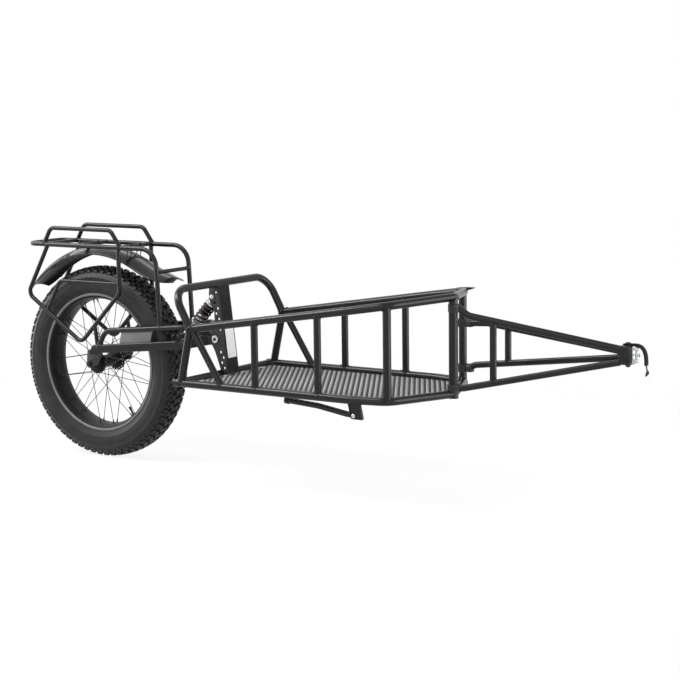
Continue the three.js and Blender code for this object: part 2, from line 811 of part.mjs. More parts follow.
const axleHalfLength = armHalfWidth + dropoutSheet / 2;
add("axle", headedBolt(axleRadius, axleNutRadius, axleNutHeight, axleX, axleZ, axleHalfLength), steel);

// Shock

const shockTop = point(shockTopX, 0, shockTopZ);
const shockEye = point(shockEyeX, 0, shockEyeZ);
const shockLength = shockTop.distanceTo(shockEye);
const lowerPerch = shockLength - lowerPerchSetback;
const eyeBore = shockBoltRadius + runningGap;

const damper = turned(
  [
    [0, 0], [damperRadius, 0], [damperRadius, damperLength],
    [damperBore, damperLength], [damperBore, collarStart], [0, collarStart],
  ],
  shockTop,
  shockEye,
);
const topEye = acrossBar(eyeRadius, shockTopX, shockTopZ, -eyeHalfWidth, eyeHalfWidth);
const topEyeBore = acrossBar(eyeBore, shockTopX, shockTopZ, -mastHalf, mastHalf);
add("shock_body", cut(join(damper, topEye), topEyeBore), blackPaint);

const collarBore = damperRadius + seatGap;
const collarProfile = [
  [collarBore, collarStart], [collarRadius, collarStart], [collarRadius, collarStart + collarHeight],
  [collarBore, collarStart + collarHeight], [collarBore, collarStart],
];
add("shock_collar", turned(collarProfile, shockTop, shockEye, 20), steel);

const shaft = turned(
  [
    [0, damperLength - perchHeight], [shaftRadius, damperLength - perchHeight],
    [shaftRadius, lowerPerch - perchHeight], [collarRadius, lowerPerch - perchHeight],
    [collarRadius, lowerPerch], [eyeRadius, lowerPerch], [eyeRadius, shockLength], [0, shockLength],
  ],
  shockTop,
  shockEye,
);
const lowEye = acrossBar(eyeRadius, shockEyeX, shockEyeZ, -eyeHalfWidth, eyeHalfWidth);
const lowEyeBore = acrossBar(eyeBore, shockEyeX, shockEyeZ, -mastHalf, mastHalf);
add("shock_shaft", cut(join(shaft, lowEye), lowEyeBore), steel);

// The spring's coils, wound from the collar to the lower perch, with flat-lying end turns left out.
const springFrom = collarStart + collarHeight + seatGap + springWireRadius;
const springTo = lowerPerch - perchHeight - seatGap - springWireRadius;
const springDirection = shockEye.clone().sub(shockTop).normalize();
const springAcross = point(0, 1, 0);
const springSide = springDirection.clone().cross(springAcross);
const stepsPerCoil = 8;
const springStations = [];
for (let i = 0; i <= springCoils * stepsPerCoil; i++) {
  const share = i / (springCoils * stepsPerCoil);
  const angle = 2 * Math.PI * springCoils * share;
  springStations.push(
    shockTop
      .clone()
      .addScaledVector(springDirection, springFrom + share * (springTo - springFrom))
      .addScaledVector(springAcross, springRadius * Math.cos(angle))
      .addScaledVector(springSide, springRadius * Math.sin(angle)),
  );
}
add("shock_spring", tube(springWireRadius, new BentPath(springStations, springDirection), 5), springPaint);

let leastSpringGap = Infinity;
springStations.forEach((a, i) => {
  springStations.slice(i + stepsPerCoil / 2).forEach((b) => {
    leastSpringGap = Math.min(leastSpringGap, a.distanceTo(b) - 2 * springWireRadius);
  });
});
console.log("least gap between the spring's coils " + leastSpringGap.toFixed(2) + " mm");

// Wheel

const wheelFrom = point(axleX, -1, axleZ);
const wheelTo = point(axleX, 0, axleZ);
const acrossWheel = (profile, segments) =>
  turned(profile.map(([r, y]) => [r, y + 1]), wheelFrom, wheelTo, segments);

// Tyre section: shares of its height above the bead and of its half width.
const tyreShares = [
  [0, 0.72], [0.22, 0.96], [0.5, 1], [0.78, 0.9], [0.93, 0.66], [1, 0.26],
];
const tyreBeadRadius = rimRadius + seatGap;
const tyreHeight = tyreRadius - tyreBeadRadius;
const tyreOuter = tyreShares.map(([up, out]) => [tyreBeadRadius + up * tyreHeight, (out * tyreWidth) / 2]);
const tyreProfile = [...tyreOuter.map(([r, y]) => [r, -y]), ...tyreOuter.reverse()];
add("tyre", acrossWheel([...tyreProfile, tyreProfile[0]], 40), rubber);

const rimProfile = [
  [rimRadius - rimDepth, -rimHalfWidth / 2], [rimRadius - rimDepth / 2, -rimHalfWidth],
  [rimRadius, -rimHalfWidth], [rimRadius, rimHalfWidth],
  [rimRadius - rimDepth / 2, rimHalfWidth], [rimRadius - rimDepth, rimHalfWidth / 2],
];
add("rim", acrossWheel([...rimProfile, rimProfile[0]], 40), blackPaint);

const flangeInner = hubFlangeHalfSpacing - hubFlangeThickness / 2;
const flangeOuter = hubFlangeHalfSpacing + hubFlangeThickness / 2;
const hubBore = axleRadius + runningGap;
const hubHalf = [
  [hubBarrelRadius, flangeInner], [hubFlangeRadius, flangeInner], [hubFlangeRadius, flangeOuter],
  [hubEndRadius, flangeOuter], [hubEndRadius, hubHalfLength], [hubBore, hubHalfLength],
];
const hubProfile = [...hubHalf.map(([r, y]) => [r, y]).reverse(), ...hubHalf.map(([r, y]) => [r, -y])].reverse();
add("hub", acrossWheel([...hubProfile, hubProfile[0]], 20), blackPaint);

// The spokes' heads form a ring outside the hub's flange. They lean forward and back by turns.
function spokes(sign) {
  const ringY = flangeOuter + seatGap;
  const ring = acrossBar(
    hubFlangeRadius + spokeRingWidth, axleX, axleZ,
    Math.min(sign * ringY, sign * (ringY + spokeRingSheet)),
    Math.max(sign * ringY, sign * (ringY + spokeRingSheet)),
    hubFlangeRadius - spokeRingWidth, spokesPerSide,
  );
  let whole = solidOf(ring);
  for (let i = 0; i < spokesPerSide; i++) {
    const lean = i % 2 ? spokeSweep : -spokeSweep;
    const inner = (i / spokesPerSide) * 2 * Math.PI;
    const outer = inner + lean * degree;
    const innerRadius = hubFlangeRadius + spokeRingWidth / 2;
    const outerRadius = rimRadius - rimDepth - seatGap - spokeWidth / 2;
    const from = point(axleX + innerRadius * Math.cos(inner), sign * (ringY + spokeRingSheet / 2), axleZ + innerRadius * Math.sin(inner));
    const to = point(axleX + outerRadius * Math.cos(outer), sign * rimHalfWidth / 4, axleZ + outerRadius * Math.sin(outer));
    whole = whole.add(solidOf(tube(spokeWidth / 2, straight(from, to), 3)));
  }
  return geometryOf(whole);
}

for (const [side, sign] of Object.entries(sides)) add("spokes_" + side, spokes(sign), steel);

// Rack

const rackFootZ = axleZ + upperArmFrontRise + upperArmRadius;
const rackLoop = (sign) => [
  point(pivotX - rackFootSetback, sign * armHalfWidth, rackFootZ),
  point(pivotX - rackBendSetback, sign * armHalfWidth, rackZ),
  point(pivotX - rackRearSetback, sign * armHalfWidth, rackZ),
];
const rackPath = bent(
  [...rackLoop(-1), ...rackLoop(1).reverse()],
  [rackFrontBendRadius, rackRearBendRadius, rackRearBendRadius, rackFrontBendRadius],
);
const upperArmTopZ = (x) => {
  const start = axleX + upperArmCornerAdvance;
  const rise = (upperArmFrontRise - upperArmCornerRise) / (armBendX - start);
  return axleZ + upperArmCornerRise + rise * (x - start);
};
const rackFootX = pivotX - rackFootSetback;
rackPath.stations[0].setZ(upperArmTopZ(rackFootX));
rackPath.stations[rackPath.steps].setZ(upperArmTopZ(rackFootX));
const upperArmCutter = (sign) =>
  tube(
    upperArmRadius + seatGap,
    straight(
      point(axleX + upperArmCornerAdvance, sign * armHalfWidth, upperArmTopZ(axleX + upperArmCornerAdvance)),
      point(armBendX, sign * armHalfWidth, upperArmTopZ(armBendX)),
    ),
  );
add("rack_frame", cut(tube(rackRadius, rackPath), upperArmCutter(-1), upperArmCutter(1)), blackPaint);

const rackCutter = tube(rackRadius + seatGap, rackPath);
for (const [place, setback] of Object.entries(rackCrossSetbacks)) {
  const x = pivotX - setback;
  const bar = acrossBar(rackCrossRadius, x, rackZ, -armHalfWidth, armHalfWidth, 0, 8);
  add("rack_crossbar_" + place, cut(bar, rackCutter), blackPaint);
}
const crossCutters = Object.values(rackCrossSetbacks).map((setback) =>
  acrossBar(rackCrossRadius + seatGap, pivotX - setback, rackZ, -armHalfWidth, armHalfWidth, 0, 8),
);
const legCrossbarZ = rackZ - legCrossbarDrop;
const legCrossbarX = pivotX - rackBendSetback + ((rackZ - legCrossbarZ) / (rackZ - rackFootZ)) * (rackBendSetback - rackFootSetback);
const legBar = acrossBar(rackCrossRadius, legCrossbarX, legCrossbarZ, -armHalfWidth, armHalfWidth, 0, 8);
add("rack_leg_crossbar", cut(legBar, rackCutter), blackPaint);

for (const [side, sign] of Object.entries(sides)) {
  const y = sign * armHalfWidth;
  const hoop = tube(
    rackHoopDiameter / 2,
    bent(
      [
        point(pivotX - rackCrossSetbacks.rear, y, rackZ),
        point(pivotX - rackHoopRearTop, y, rackZ + rackHoopHeight),
        point(pivotX - rackHoopFrontTop, y, rackZ + rackHoopHeight),
        point(pivotX - rackHoopFrontFoot, y, rackZ),
      ],
      rackHoopBendRadius,
    ),
  );
  add("rack_hoop_" + side, cut(hoop, rackCutter, ...crossCutters), blackPaint);

  const outer = tube(pannierDiameter / 2, pannierPath(sign));
  const inner = tube(
    innerFrameDiameter / 2,
    bent(
      [
        pannierPoint(sign, innerFrameRearSetback, innerRearRise()),
        pannierPoint(sign, innerFrameCornerSetback, innerFrameRise),
        pannierPoint(sign, pannierFrontSetback, innerFrameRise),
      ],
      pannierBendRadius,
    ),
  );
  add("pannier_frame_" + side, cut(join(outer, inner), rackCutter, ...crossCutters), blackPaint);
}

// The inner frame's foot lies on the sloping lower run of the outer frame.
function innerRearRise() {
  const share = (pannierRearSetback - innerFrameRearSetback) / (pannierRearSetback - pannierLowSetback);
  return pannierRearRise + share * (pannierLowRise - pannierRearRise);
}

// Fender: its crown just touches the middle crossbar of the rack from below

const fenderStations = [];
for (let angle = fenderRearAngle; angle >= fenderFrontAngle; angle -= fenderStep) {
  fenderStations.push(
    point(axleX + fenderRadius * Math.cos(angle * degree), 0, axleZ + fenderRadius * Math.sin(angle * degree)),
  );
}
const crownShares = [[-1, 1], [-0.75, 0.48], [-0.4, 0.12], [0, 0], [0.4, 0.12], [0.75, 0.48], [1, 1]];
const fenderTop = crownShares.map(([across, drop]) => [across * fenderHalfWidth, -drop * fenderCrown]);
const fenderBottom = fenderTop.map(([y, drop]) => [y * (1 - fenderSheet / fenderHalfWidth), drop - fenderSheet]).reverse();
add("fender", sweep(polygon([...fenderTop, ...fenderBottom].reverse()), new BentPath(fenderStations, point(0, 1, 0))), blackPlastic);

// Tongue

const jointX = overallLength / 2 - jointSetback;
const blockRearX = overallLength / 2 - hitchBlockSetback;
const blockFrontX = blockRearX + hitchBlockLength;
const nosePostCentre = point(nosePost.x, nosePost.y, 0);
const hingeCentre = point(shoulder.x, shoulder.y, 0);
const trussEnds = {
  right: point(blockRearX + hitchBlockLength / 2, hitchY - trussEndHalfSpacing, 0),
  left: point(blockRearX + hitchBlockLength / 2, hitchY + trussEndHalfSpacing, 0),
};
const blockCutter = box(
  blockRearX - seatGap, blockFrontX,
  hitchY - hitchBlockWidth, hitchY + hitchBlockWidth,
  hitchBlockBottomZ - hitchBlockHeight, hitchBlockBottomZ + 2 * hitchBlockHeight,
);

// One flat truss: two flat-sided tubes and a strut in the upright plane from its root to the hitch block.
function truss(root, postSize, end, upper, lower, strutAt) {
  const along = end.clone().sub(root).normalize();
  const across = point(-along.y, along.x, 0);
  const length = end.distanceTo(root);
  const at = (distance, z) => root.clone().addScaledVector(along, distance).setZ(z);
  const run = ({ rootZ, bendAt, bendZ, endZ }) =>
    sweep(
      flatSection(trussTubeWidth, trussTubeHeight),
      bent(
        [at(postSize + clampThickness / 2, rootZ), at(bendAt, bendZ), at(length, endZ)],
        trussBendRadius,
        across,
      ),
    );
  const heightAt = ({ bendAt, bendZ, endZ }) => bendZ + ((strutAt - bendAt) / (length - bendAt)) * (endZ - bendZ);
  const strut = sweep(
    flatSection(trussTubeWidth, trussTubeHeight),
    straight(at(strutAt, heightAt(lower)), at(strutAt, heightAt(upper)), across),
  );
  return [run(upper), run(lower), strut];
}

const clampReach = (postSize) => postSize + runningGap + clampThickness;
const clampRing = (centre, postSize, z) =>
  uprightBar(clampReach(postSize), centre.x, centre.y, z - clampHeight / 2, z + clampHeight / 2, 0, 16);
const clampBore = (centre, postSize, z) =>
  uprightBar(postSize + runningGap, centre.x, centre.y, z - clampHeight, z + clampHeight, 0, 16);

// The nose clamps are split across the direction in which the tongue swings clear of the nose post.
const swingRadius = nosePostCentre.clone().sub(hingeCentre);
const swingAway = point(-swingRadius.y, swingRadius.x, 0).normalize();
const splitAngle = Math.atan2(swingAway.y, swingAway.x);
function clampHalf(z, forward) {
  const reach = clampReach(nosePostRadius) + cutOverrun;
  const half = new THREE.BoxGeometry(reach, 2 * reach, 2 * clampHeight);
  half.translate(forward * (reach / 2 + seatGap / 2), 0, 0).rotateZ(splitAngle);
  half.translate(nosePostCentre.x, nosePostCentre.y, z);
  return geometryOf(solidOf(clampRing(nosePostCentre, nosePostRadius, z)).intersect(solidOf(half)));
}

const noseClamps = { upper: rightUpper.rootZ, lower: rightLower.rootZ };
const rightTruss = join(
  ...truss(nosePostCentre, nosePostRadius, trussEnds.right, rightUpper, rightLower, rightStrutAt),
  clampHalf(noseClamps.upper, 1),
  clampHalf(noseClamps.lower, 1),
);
const noseBores = Object.values(noseClamps).map((z) => clampBore(nosePostCentre, nosePostRadius, z));
const noseSplits = Object.values(noseClamps).map((z) => {
  const reach = clampReach(nosePostRadius) + cutOverrun;
  const behind = new THREE.BoxGeometry(reach, 2 * reach, 2 * clampHeight);
  behind.translate(-reach / 2 + seatGap / 2, 0, 0).rotateZ(splitAngle);
  return behind.translate(nosePostCentre.x, nosePostCentre.y, z);
});
add("tongue_right_truss", cut(rightTruss, ...noseBores, ...noseSplits, lowerRailCutter, blockCutter), blackPaint);
for (const [name, z] of Object.entries(noseClamps)) {
  add("nose_cap_" + name, cut(clampHalf(z, -1), clampBore(nosePostCentre, nosePostRadius, z), lowerRailCutter), greyPaint);
}

const hinges = [leftUpper.rootZ, leftLower.rootZ];
const leftTruss = join(
  ...truss(hingeCentre, railRadius, trussEnds.left, leftUpper, leftLower, leftStrutAt),
  ...hinges.map((z) => clampRing(hingeCentre, railRadius, z)),
);
add("tongue_left_truss", cut(leftTruss, ...hinges.map((z) => clampBore(hingeCentre, railRadius, z)), blockCutter), blackPaint);

const blockTopZ = hitchBlockBottomZ + hitchBlockHeight;
const boltX = overallLength / 2 - hitchBoltSetback;
const block = box(
  blockRearX, blockFrontX,
  hitchY - hitchBlockWidth / 2, hitchY + hitchBlockWidth / 2,
  hitchBlockBottomZ, blockTopZ,
);
const blockBore = uprightBar(
  hitchBoltRadius + seatGap, boltX, hitchY, hitchBlockBottomZ - cutOverrun, blockTopZ + cutOverrun,
);
add("hitch_block", cut(block, blockBore), blackPaint);

const strapTopZ = blockTopZ + seatGap + strapSheet;
const hitchBolt = join(
  uprightBar(hitchBoltRadius, boltX, hitchY, hitchBlockBottomZ - hitchBoltTail, strapTopZ + seatGap + hitchBoltHeadHeight / 2),
  uprightBar(hitchBoltHeadRadius, boltX, hitchY, strapTopZ + seatGap, strapTopZ + seatGap + hitchBoltHeadHeight),
);
add("hitch_bolt", hitchBolt, steel);

// Hitch

const forkBaseX = blockFrontX + seatGap;
const forkTip = jointX + forkEarReach;
const ear = (sign) =>
  box(
    forkBaseX, forkTip, hitchY - forkEarHalfWidth, hitchY + forkEarHalfWidth,
    Math.min(jointZ + sign * forkEarInner, jointZ + sign * (forkEarInner + forkEarSheet)),
    Math.max(jointZ + sign * forkEarInner, jointZ + sign * (forkEarInner + forkEarSheet)),
  );
const forkBase = box(
  forkBaseX, forkBaseX + forkBaseSheet,
  hitchY - hitchBlockWidth / 4, hitchY + hitchBlockWidth / 4,
  jointZ - forkBaseHalfHeight, jointZ + forkBaseHalfHeight,
);
const forkOuter = forkEarInner + forkEarSheet;
const kingBore = uprightBar(kingPinRadius + seatGap, jointX, hitchY, jointZ - 2 * forkOuter, jointZ + 2 * forkOuter);
add("hitch_fork", cut(join(forkBase, ear(1), ear(-1)), kingBore), steel);

const kingPin = join(
  uprightBar(kingPinRadius, jointX, hitchY, jointZ - forkOuter - kingPinHeadHeight, jointZ + forkOuter + kingPinHeadHeight / 2),
  uprightBar(kingPinHeadRadius, jointX, hitchY, jointZ + forkOuter + seatGap, jointZ + forkOuter + seatGap + kingPinHeadHeight),
);
add("hitch_king_pin", kingPin, steel);

const crossHeight = forkEarInner - runningGap;
const crossBlock = box(
  jointX - crossHalf, jointX + crossHalf, hitchY - crossHalf, hitchY + crossHalf,
  jointZ - crossHalfHeight, jointZ + crossHalfHeight,
);
const crossSleeve = uprightBar(crossSleeveRadius, jointX, hitchY, jointZ - crossHeight, jointZ + crossHeight);
const crossKingBore = uprightBar(kingPinRadius + runningGap, jointX, hitchY, jointZ - 2 * forkOuter, jointZ + 2 * forkOuter);

// The yoke's two stub pins stand in its ears, so that they clear the king pin inside the cross.
const yokeInner = crossHalf + runningGap;
const yokeOuter = yokeInner + yokeEarSheet;
const yokeFrontX = overallLength / 2;
const yokeEar = (sign) => {
  const fromY = hitchY + Math.min(sign * yokeInner, sign * yokeOuter);
  const toY = hitchY + Math.max(sign * yokeInner, sign * yokeOuter);
  return join(
    acrossBar(yokeEarRadius, jointX, jointZ, fromY, toY, 0, 12),
    box(jointX, yokeFrontX, fromY, toY, jointZ - yokeEarRadius, jointZ + yokeEarRadius),
  );
};
const yokeBridge = box(
  yokeFrontX - yokeBridgeSheet, yokeFrontX, hitchY - yokeOuter, hitchY + yokeOuter,
  jointZ - yokeEarRadius, jointZ + yokeEarRadius,
);
const stubPin = (sign) => {
  const tip = kingPinRadius + 2 * runningGap;
  return acrossBar(
    yokePinRadius, jointX, jointZ,
    hitchY + Math.min(sign * tip, sign * yokeOuter), hitchY + Math.max(sign * tip, sign * yokeOuter),
  );
};
const stubBores = acrossBar(yokePinRadius + runningGap, jointX, jointZ, hitchY - 2 * yokeOuter, hitchY + 2 * yokeOuter);
add("hitch_cross", cut(join(crossBlock, crossSleeve), crossKingBore, stubBores), steel);
add("hitch_yoke", join(yokeEar(1), yokeEar(-1), yokeBridge, stubPin(1), stubPin(-1)), steel);

// Safety strap: a flat strap held under the hitch bolt, which hangs over the front of the hitch

const strapPoints = [
  [950, 438.8], [963, 438.8], [976, 438.8], [988, 438.6], [998, 435.5], [1006, 428.5], [1011, 418], [1013.5, 404],
  [1014, 388],
].map(([x, z]) => point(x, hitchY, z));
const strapPath = new BentPath(strapPoints, point(0, 1, 0));
const strapBore = uprightBar(hitchBoltRadius + seatGap, boltX, hitchY, blockTopZ - cutOverrun, blockTopZ + 2 * cutOverrun);
add("safety_strap", cut(sweep(flatSection(strapWidth, strapSheet), strapPath), strapBore), rubber);

const strapEnd = strapPoints[strapPoints.length - 1];
const clipTopZ = strapEnd.z - seatGap;
add(
  "strap_clip",
  box(
    strapEnd.x - clipSheet / 2, strapEnd.x + clipSheet / 2,
    hitchY - clipWidth / 2, hitchY + clipWidth / 2,
    clipTopZ - clipHeight, clipTopZ,
  ),
  blackPlastic,
);
const ringCentreZ = clipTopZ - clipHeight - seatGap - ringRadius - ringWireRadius;
const ring = sharedPoints(new THREE.TorusGeometry(ringRadius, ringWireRadius, 6, 16));
add("strap_ring", ring.rotateY(Math.PI / 2).translate(strapEnd.x, hitchY, ringCentreZ), steel);

// Side stand

const standX = basketX + noseOffset * standShare;
const standY = -basketHalfWidth + standInset;
const plateBottom = standBoltZ - standPlateBelow;
const standPlate = sidePlate(
  [
    [standX - standBracketHalfWidth, lowerRailZ],
    [standX - standBracketHalfWidth + standBracketSlope, plateBottom],
    [standX + standBracketHalfWidth + standBracketSlope, plateBottom],
    [standX + standBracketHalfWidth, lowerRailZ],
  ],
  -basketHalfWidth - standBracketSheet / 2,
  -basketHalfWidth + standBracketSheet / 2,
  [[standX, standBoltZ, standBoltRadius + seatGap]],
);
add("stand_bracket", cut(standPlate, lowerRailCutter), blackPaint);

const boltOuterY = -basketHalfWidth - standBracketSheet / 2 - seatGap;
const boltInnerY = standY + standTubeDiameter / 2 + seatGap;
const standBolt = join(
  acrossBar(standBoltRadius, standX, standBoltZ, boltOuterY - standHeadHeight / 2, boltInnerY + standHeadHeight / 2, 0, 12),
  acrossBar(standHeadRadius, standX, standBoltZ, boltOuterY - standHeadHeight, boltOuterY, 0, 12),
  acrossBar(standHeadRadius, standX, standBoltZ, boltInnerY, boltInnerY + standHeadHeight, 0, 12),
);
add("stand_bolt", standBolt, steel);

const spacerOuterY = -basketHalfWidth + standBracketSheet / 2 + seatGap;
const spacerInnerY = standY - standTubeDiameter / 2 - seatGap;
const spacer = acrossBar(
  standHeadRadius, standX, standBoltZ, spacerOuterY, spacerInnerY, standBoltRadius + seatGap, 12,
);
add("stand_spacer", spacer, steel);

const legAlong = point(-Math.cos(standAngle * degree), 0, Math.sin(standAngle * degree));
const legPoint = (distance) => point(standX, standY, standBoltZ).addScaledVector(legAlong, distance);
const leg = tube(standTubeDiameter / 2, straight(legPoint(-standHeadRadius - standHeadHeight), legPoint(standLength - standFootLength)));
const legBore = acrossBar(standBoltRadius + runningGap, standX, standBoltZ, -basketHalfWidth, 0, 0, 12);
add("stand_leg", cut(leg, legBore), blackPaint);
const foot = tube(standFootRadius, straight(legPoint(standLength - standFootLength + seatGap), legPoint(standLength)));
add("stand_foot", foot, rubber);

export default trailer;
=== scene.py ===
"""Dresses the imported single-wheel cargo trailer: round bent tubes with their welds, expanded metal, a
knobbed tyre, a spoked wheel, the folded mast, the shock and the hitch. Metres, +X forward, +Z up."""

import json
import math

import bmesh
import bpy
from mathutils import Matrix, Vector


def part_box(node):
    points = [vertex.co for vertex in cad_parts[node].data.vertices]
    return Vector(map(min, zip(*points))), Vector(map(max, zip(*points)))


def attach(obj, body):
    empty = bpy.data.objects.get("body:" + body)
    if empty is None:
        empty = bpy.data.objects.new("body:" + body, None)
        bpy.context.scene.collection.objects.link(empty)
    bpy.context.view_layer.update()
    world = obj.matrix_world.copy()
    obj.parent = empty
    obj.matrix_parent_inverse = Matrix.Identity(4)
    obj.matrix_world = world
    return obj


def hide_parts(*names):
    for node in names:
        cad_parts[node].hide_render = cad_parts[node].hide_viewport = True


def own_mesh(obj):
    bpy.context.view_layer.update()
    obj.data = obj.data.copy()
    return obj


bl_info = {
    "name": "Cargo Trailer Dresser",
    "version": (1, 0, 0),
    "blender": (4, 5, 0),
    "location": "3D View > Sidebar > Trailer",
    "description": "Builds the trailer's finished pieces around its packed frame",
    "category": "Object",
}

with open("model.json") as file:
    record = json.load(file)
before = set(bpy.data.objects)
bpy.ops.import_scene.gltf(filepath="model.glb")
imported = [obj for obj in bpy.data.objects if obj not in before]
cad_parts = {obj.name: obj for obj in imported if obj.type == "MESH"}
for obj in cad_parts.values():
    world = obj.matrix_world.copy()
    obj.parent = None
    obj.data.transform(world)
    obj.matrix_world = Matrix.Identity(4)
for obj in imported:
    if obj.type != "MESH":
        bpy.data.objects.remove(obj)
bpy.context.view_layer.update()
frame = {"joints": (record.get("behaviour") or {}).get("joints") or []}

# Places that come from the frame's joints

PLACES = {joint["name"]: Vector(joint["pos_m"]) for joint in frame["joints"]}
PIVOT = PLACES["swing"]
AXLE = PLACES["wheel_spin"]
SHOCK_TOP = PLACES["shock_tilt"]
SHOCK_EYE = PLACES["shock_stroke"]
JOINT = PLACES["hitch_yaw"]
STAND = PLACES["stand_swing"]
SIDES = {"right": -1, "left": 1}
SEAT = 0.0003
FORWARD = Vector((1, 0, 0))
LEFT = Vector((0, 1, 0))
UP = Vector((0, 0, 1))

# Radii of the round bolts, of the bores that clear them and of the fine weld beads

PIVOT_PIN = 0.008
PIVOT_BORE = 0.0083
BOLT = 0.004
BOLT_BORE = 0.0043
RACK_BEAD = 0.0012
LEG_BEAD = 0.0013
ARM_BEAD = 0.0014

# Basket: places are counted forward from the rear crossbar

CROSSBAR_X = PIVOT.x + 0.017
HALF_WIDTH = 0.22
LOWER_Z = 0.2865
POST_PLACES = {"rear": 0.266, "front": 0.473}
TAPER = 0.574
SHOULDER = 0.68
SHOULDER_Y = 0.201
NOSE = 0.762
UPPER_REAR_Z = 0.441
UPPER_SHOULDER_Z = 0.538
UPPER_NOSE_Z = 0.546
TAPER_BEND = 0.15
SHOULDER_BEND = 0.055
NOSE_BEND = 0.026
REAR_BEND = 0.024
HOOP_FOOT = 0.01
HOOP_KNEE = 0.045
HOOP_TOP = -0.013
HOOP_Z = 0.546
KNEE_BEND = 0.045
HOOP_BEND = 0.055
BRACE_TOP = 0.052
BRACE_FOOT = 0.152
BRACE_RADIUS = 0.0095
UPPER_SLOPE = 0.15
TAB_PLACES = (-0.135, -0.02, 0.06, 0.15)
TAB_HALF = 0.011

# Mast

MAST_FOOT_Z = 0.288
MAST_HEIGHT = 0.252
MAST_FOOT_X = CROSSBAR_X + 0.0272
MAST_LEAN = 0.1233
MAST_DEPTH = 0.032
MAST_HALF = 0.026
MAST_SHEET = 0.004

# Swingarm and rack: places are counted back from the pivot, heights up from the axle

ARM_Y = 0.075
ARM_BEND = 0.084
ARM_NECK = 0.03
ARM_NECK_Y = 0.0136
ARM_REAR_RISE = 0.045
ARM_FRONT_RISE = 0.08
ARM_WIDE = 0.015
ARM_TALL = 0.027
CROSS_DROP = 0.022
CROSS_RADIUS = 0.01
EYE_RADIUS = 0.009
LOOP_ROOT = 0.032
LOOP_CORNER = 0.062
LOOP_CORNER_RISE = 0.104
LOOP_FRONT_RISE = 0.131
LOOP_RADIUS = 0.008
RACK_RADIUS = 0.007
RACK_RISE = 0.352
RACK_REAR = 0.668
RACK_BEND = 0.175
RACK_FOOT = 0.163
RACK_BARS = {"rear": 0.606, "middle": 0.482, "front": 0.314}
BAR_RADIUS = 0.006
LEG_BAR_RISE = 0.286
HOOP_RISE = 0.402
HOOP_REAR_TOP = 0.577
HOOP_FRONT_TOP = 0.343
HOOP_FRONT_FOOT = 0.306
PANNIER_RADIUS = 0.0065
INNER_RADIUS = 0.0055
RACK_CORNER = 0.024

# Fender

FENDER_HALF = 0.052
FENDER_CROWN = 0.02
FENDER_SHEET = 0.002
FENDER_FRONT = math.radians(62)
FENDER_REAR = math.radians(141)
FLARE_LENGTH = 0.131
FLARE_TURN = math.radians(14)
ROLL_INSET = 0.0016
ROLL_RADIUS = 0.0028
STAY_WIRE = 0.0014

# Wheel

RIM_RADIUS = 0.203
RIM_HALF = 0.038
RIM_FLOOR = RIM_RADIUS - 0.014
HUB_FLANGE = 0.033
SPOKE_CIRCLE = HUB_FLANGE - 0.0035
FLANGE_Y = 0.043
ELBOW_WIRE = 0.0011
SPOKE_WIRE = 0.00105
VALVE_ANGLE = math.radians(-58)
KNOB_LAG = 0.1

# Shock: places along its line from the upper eye

COLLAR_FACE = 0.033
PERCH_THICK = 0.005
SPRING_WIRE = 0.0033
SPRING_RADIUS = 0.016

# Tongue and hitch

TUBE_TALL = 0.018
TUBE_WIDE = 0.014
BLOCK_REAR = 0.946
BLOCK_FRONT = 0.977
BLOCK_LOW = 0.387
BLOCK_TALL = 0.05
BLOCK_WIDE = 0.038
TRUSS_SPREAD = 0.009
CLAMP_WALL = 0.0063
CLAMP_TALL = 0.021
CAP_WALLS = {"upper": 0.0016, "lower": 0.0046}

# Camera, as found from the photograph

CAMERA_TARGET = Vector((0.138, 0.0, 0.407))
CAMERA_AZIMUTH = math.radians(34.0)
CAMERA_RISE = math.radians(7.8)
CAMERA_ROLL = math.radians(-0.7)
CAMERA_DISTANCE = 5.219
CAMERA_LENS = 100.09
WORLD_LIGHT = 0.4
WORLD_SEEN = 1.0
FLOOR_HALF = 30.0
FLOOR_FADE = {"From Min": 1.0, "From Max": 2.2, "To Min": 0.88}


def length(name, description, default):
    return bpy.props.FloatProperty(name=name, description=description, default=default, unit="LENGTH")


def number(name, description, default, low):
    return bpy.props.IntProperty(name=name, description=description, default=default, min=low)


def colour(name, description, *default):
    return bpy.props.FloatVectorProperty(name=name, description=description, default=default, subtype="COLOR")


class TrailerSizes(bpy.types.PropertyGroup):
    """Sizes that can be changed on the finished pieces"""

    rail_radius: length("Rail radius", "Outer radius of the basket's bent tubes", 0.0111)
    post_radius: length("Post radius", "Outer radius of the upright side posts", 0.01)
    nose_radius: length("Nose post radius", "Outer radius of the nose post", 0.0127)
    weld_bead: length("Weld bead", "Radius of the welds' beads", 0.0018)
    mesh_pitch_x: length("Mesh pitch along", "Length of a floor opening", 0.0165)
    mesh_pitch_y: length("Mesh pitch across", "Width of a floor opening", 0.027)
    strand_width: length("Strand width", "Width of the floor's strands", 0.0038)
    tread_pitches: number("Tread pitches", "Rows of knobs round the tyre", 66, 12)
    spoke_pairs: number("Spoke pairs a side", "Pairs of crossed spokes on each side", 9, 4)
    spring_coils: number("Spring coils", "Turns of the shock's spring", 5, 3)


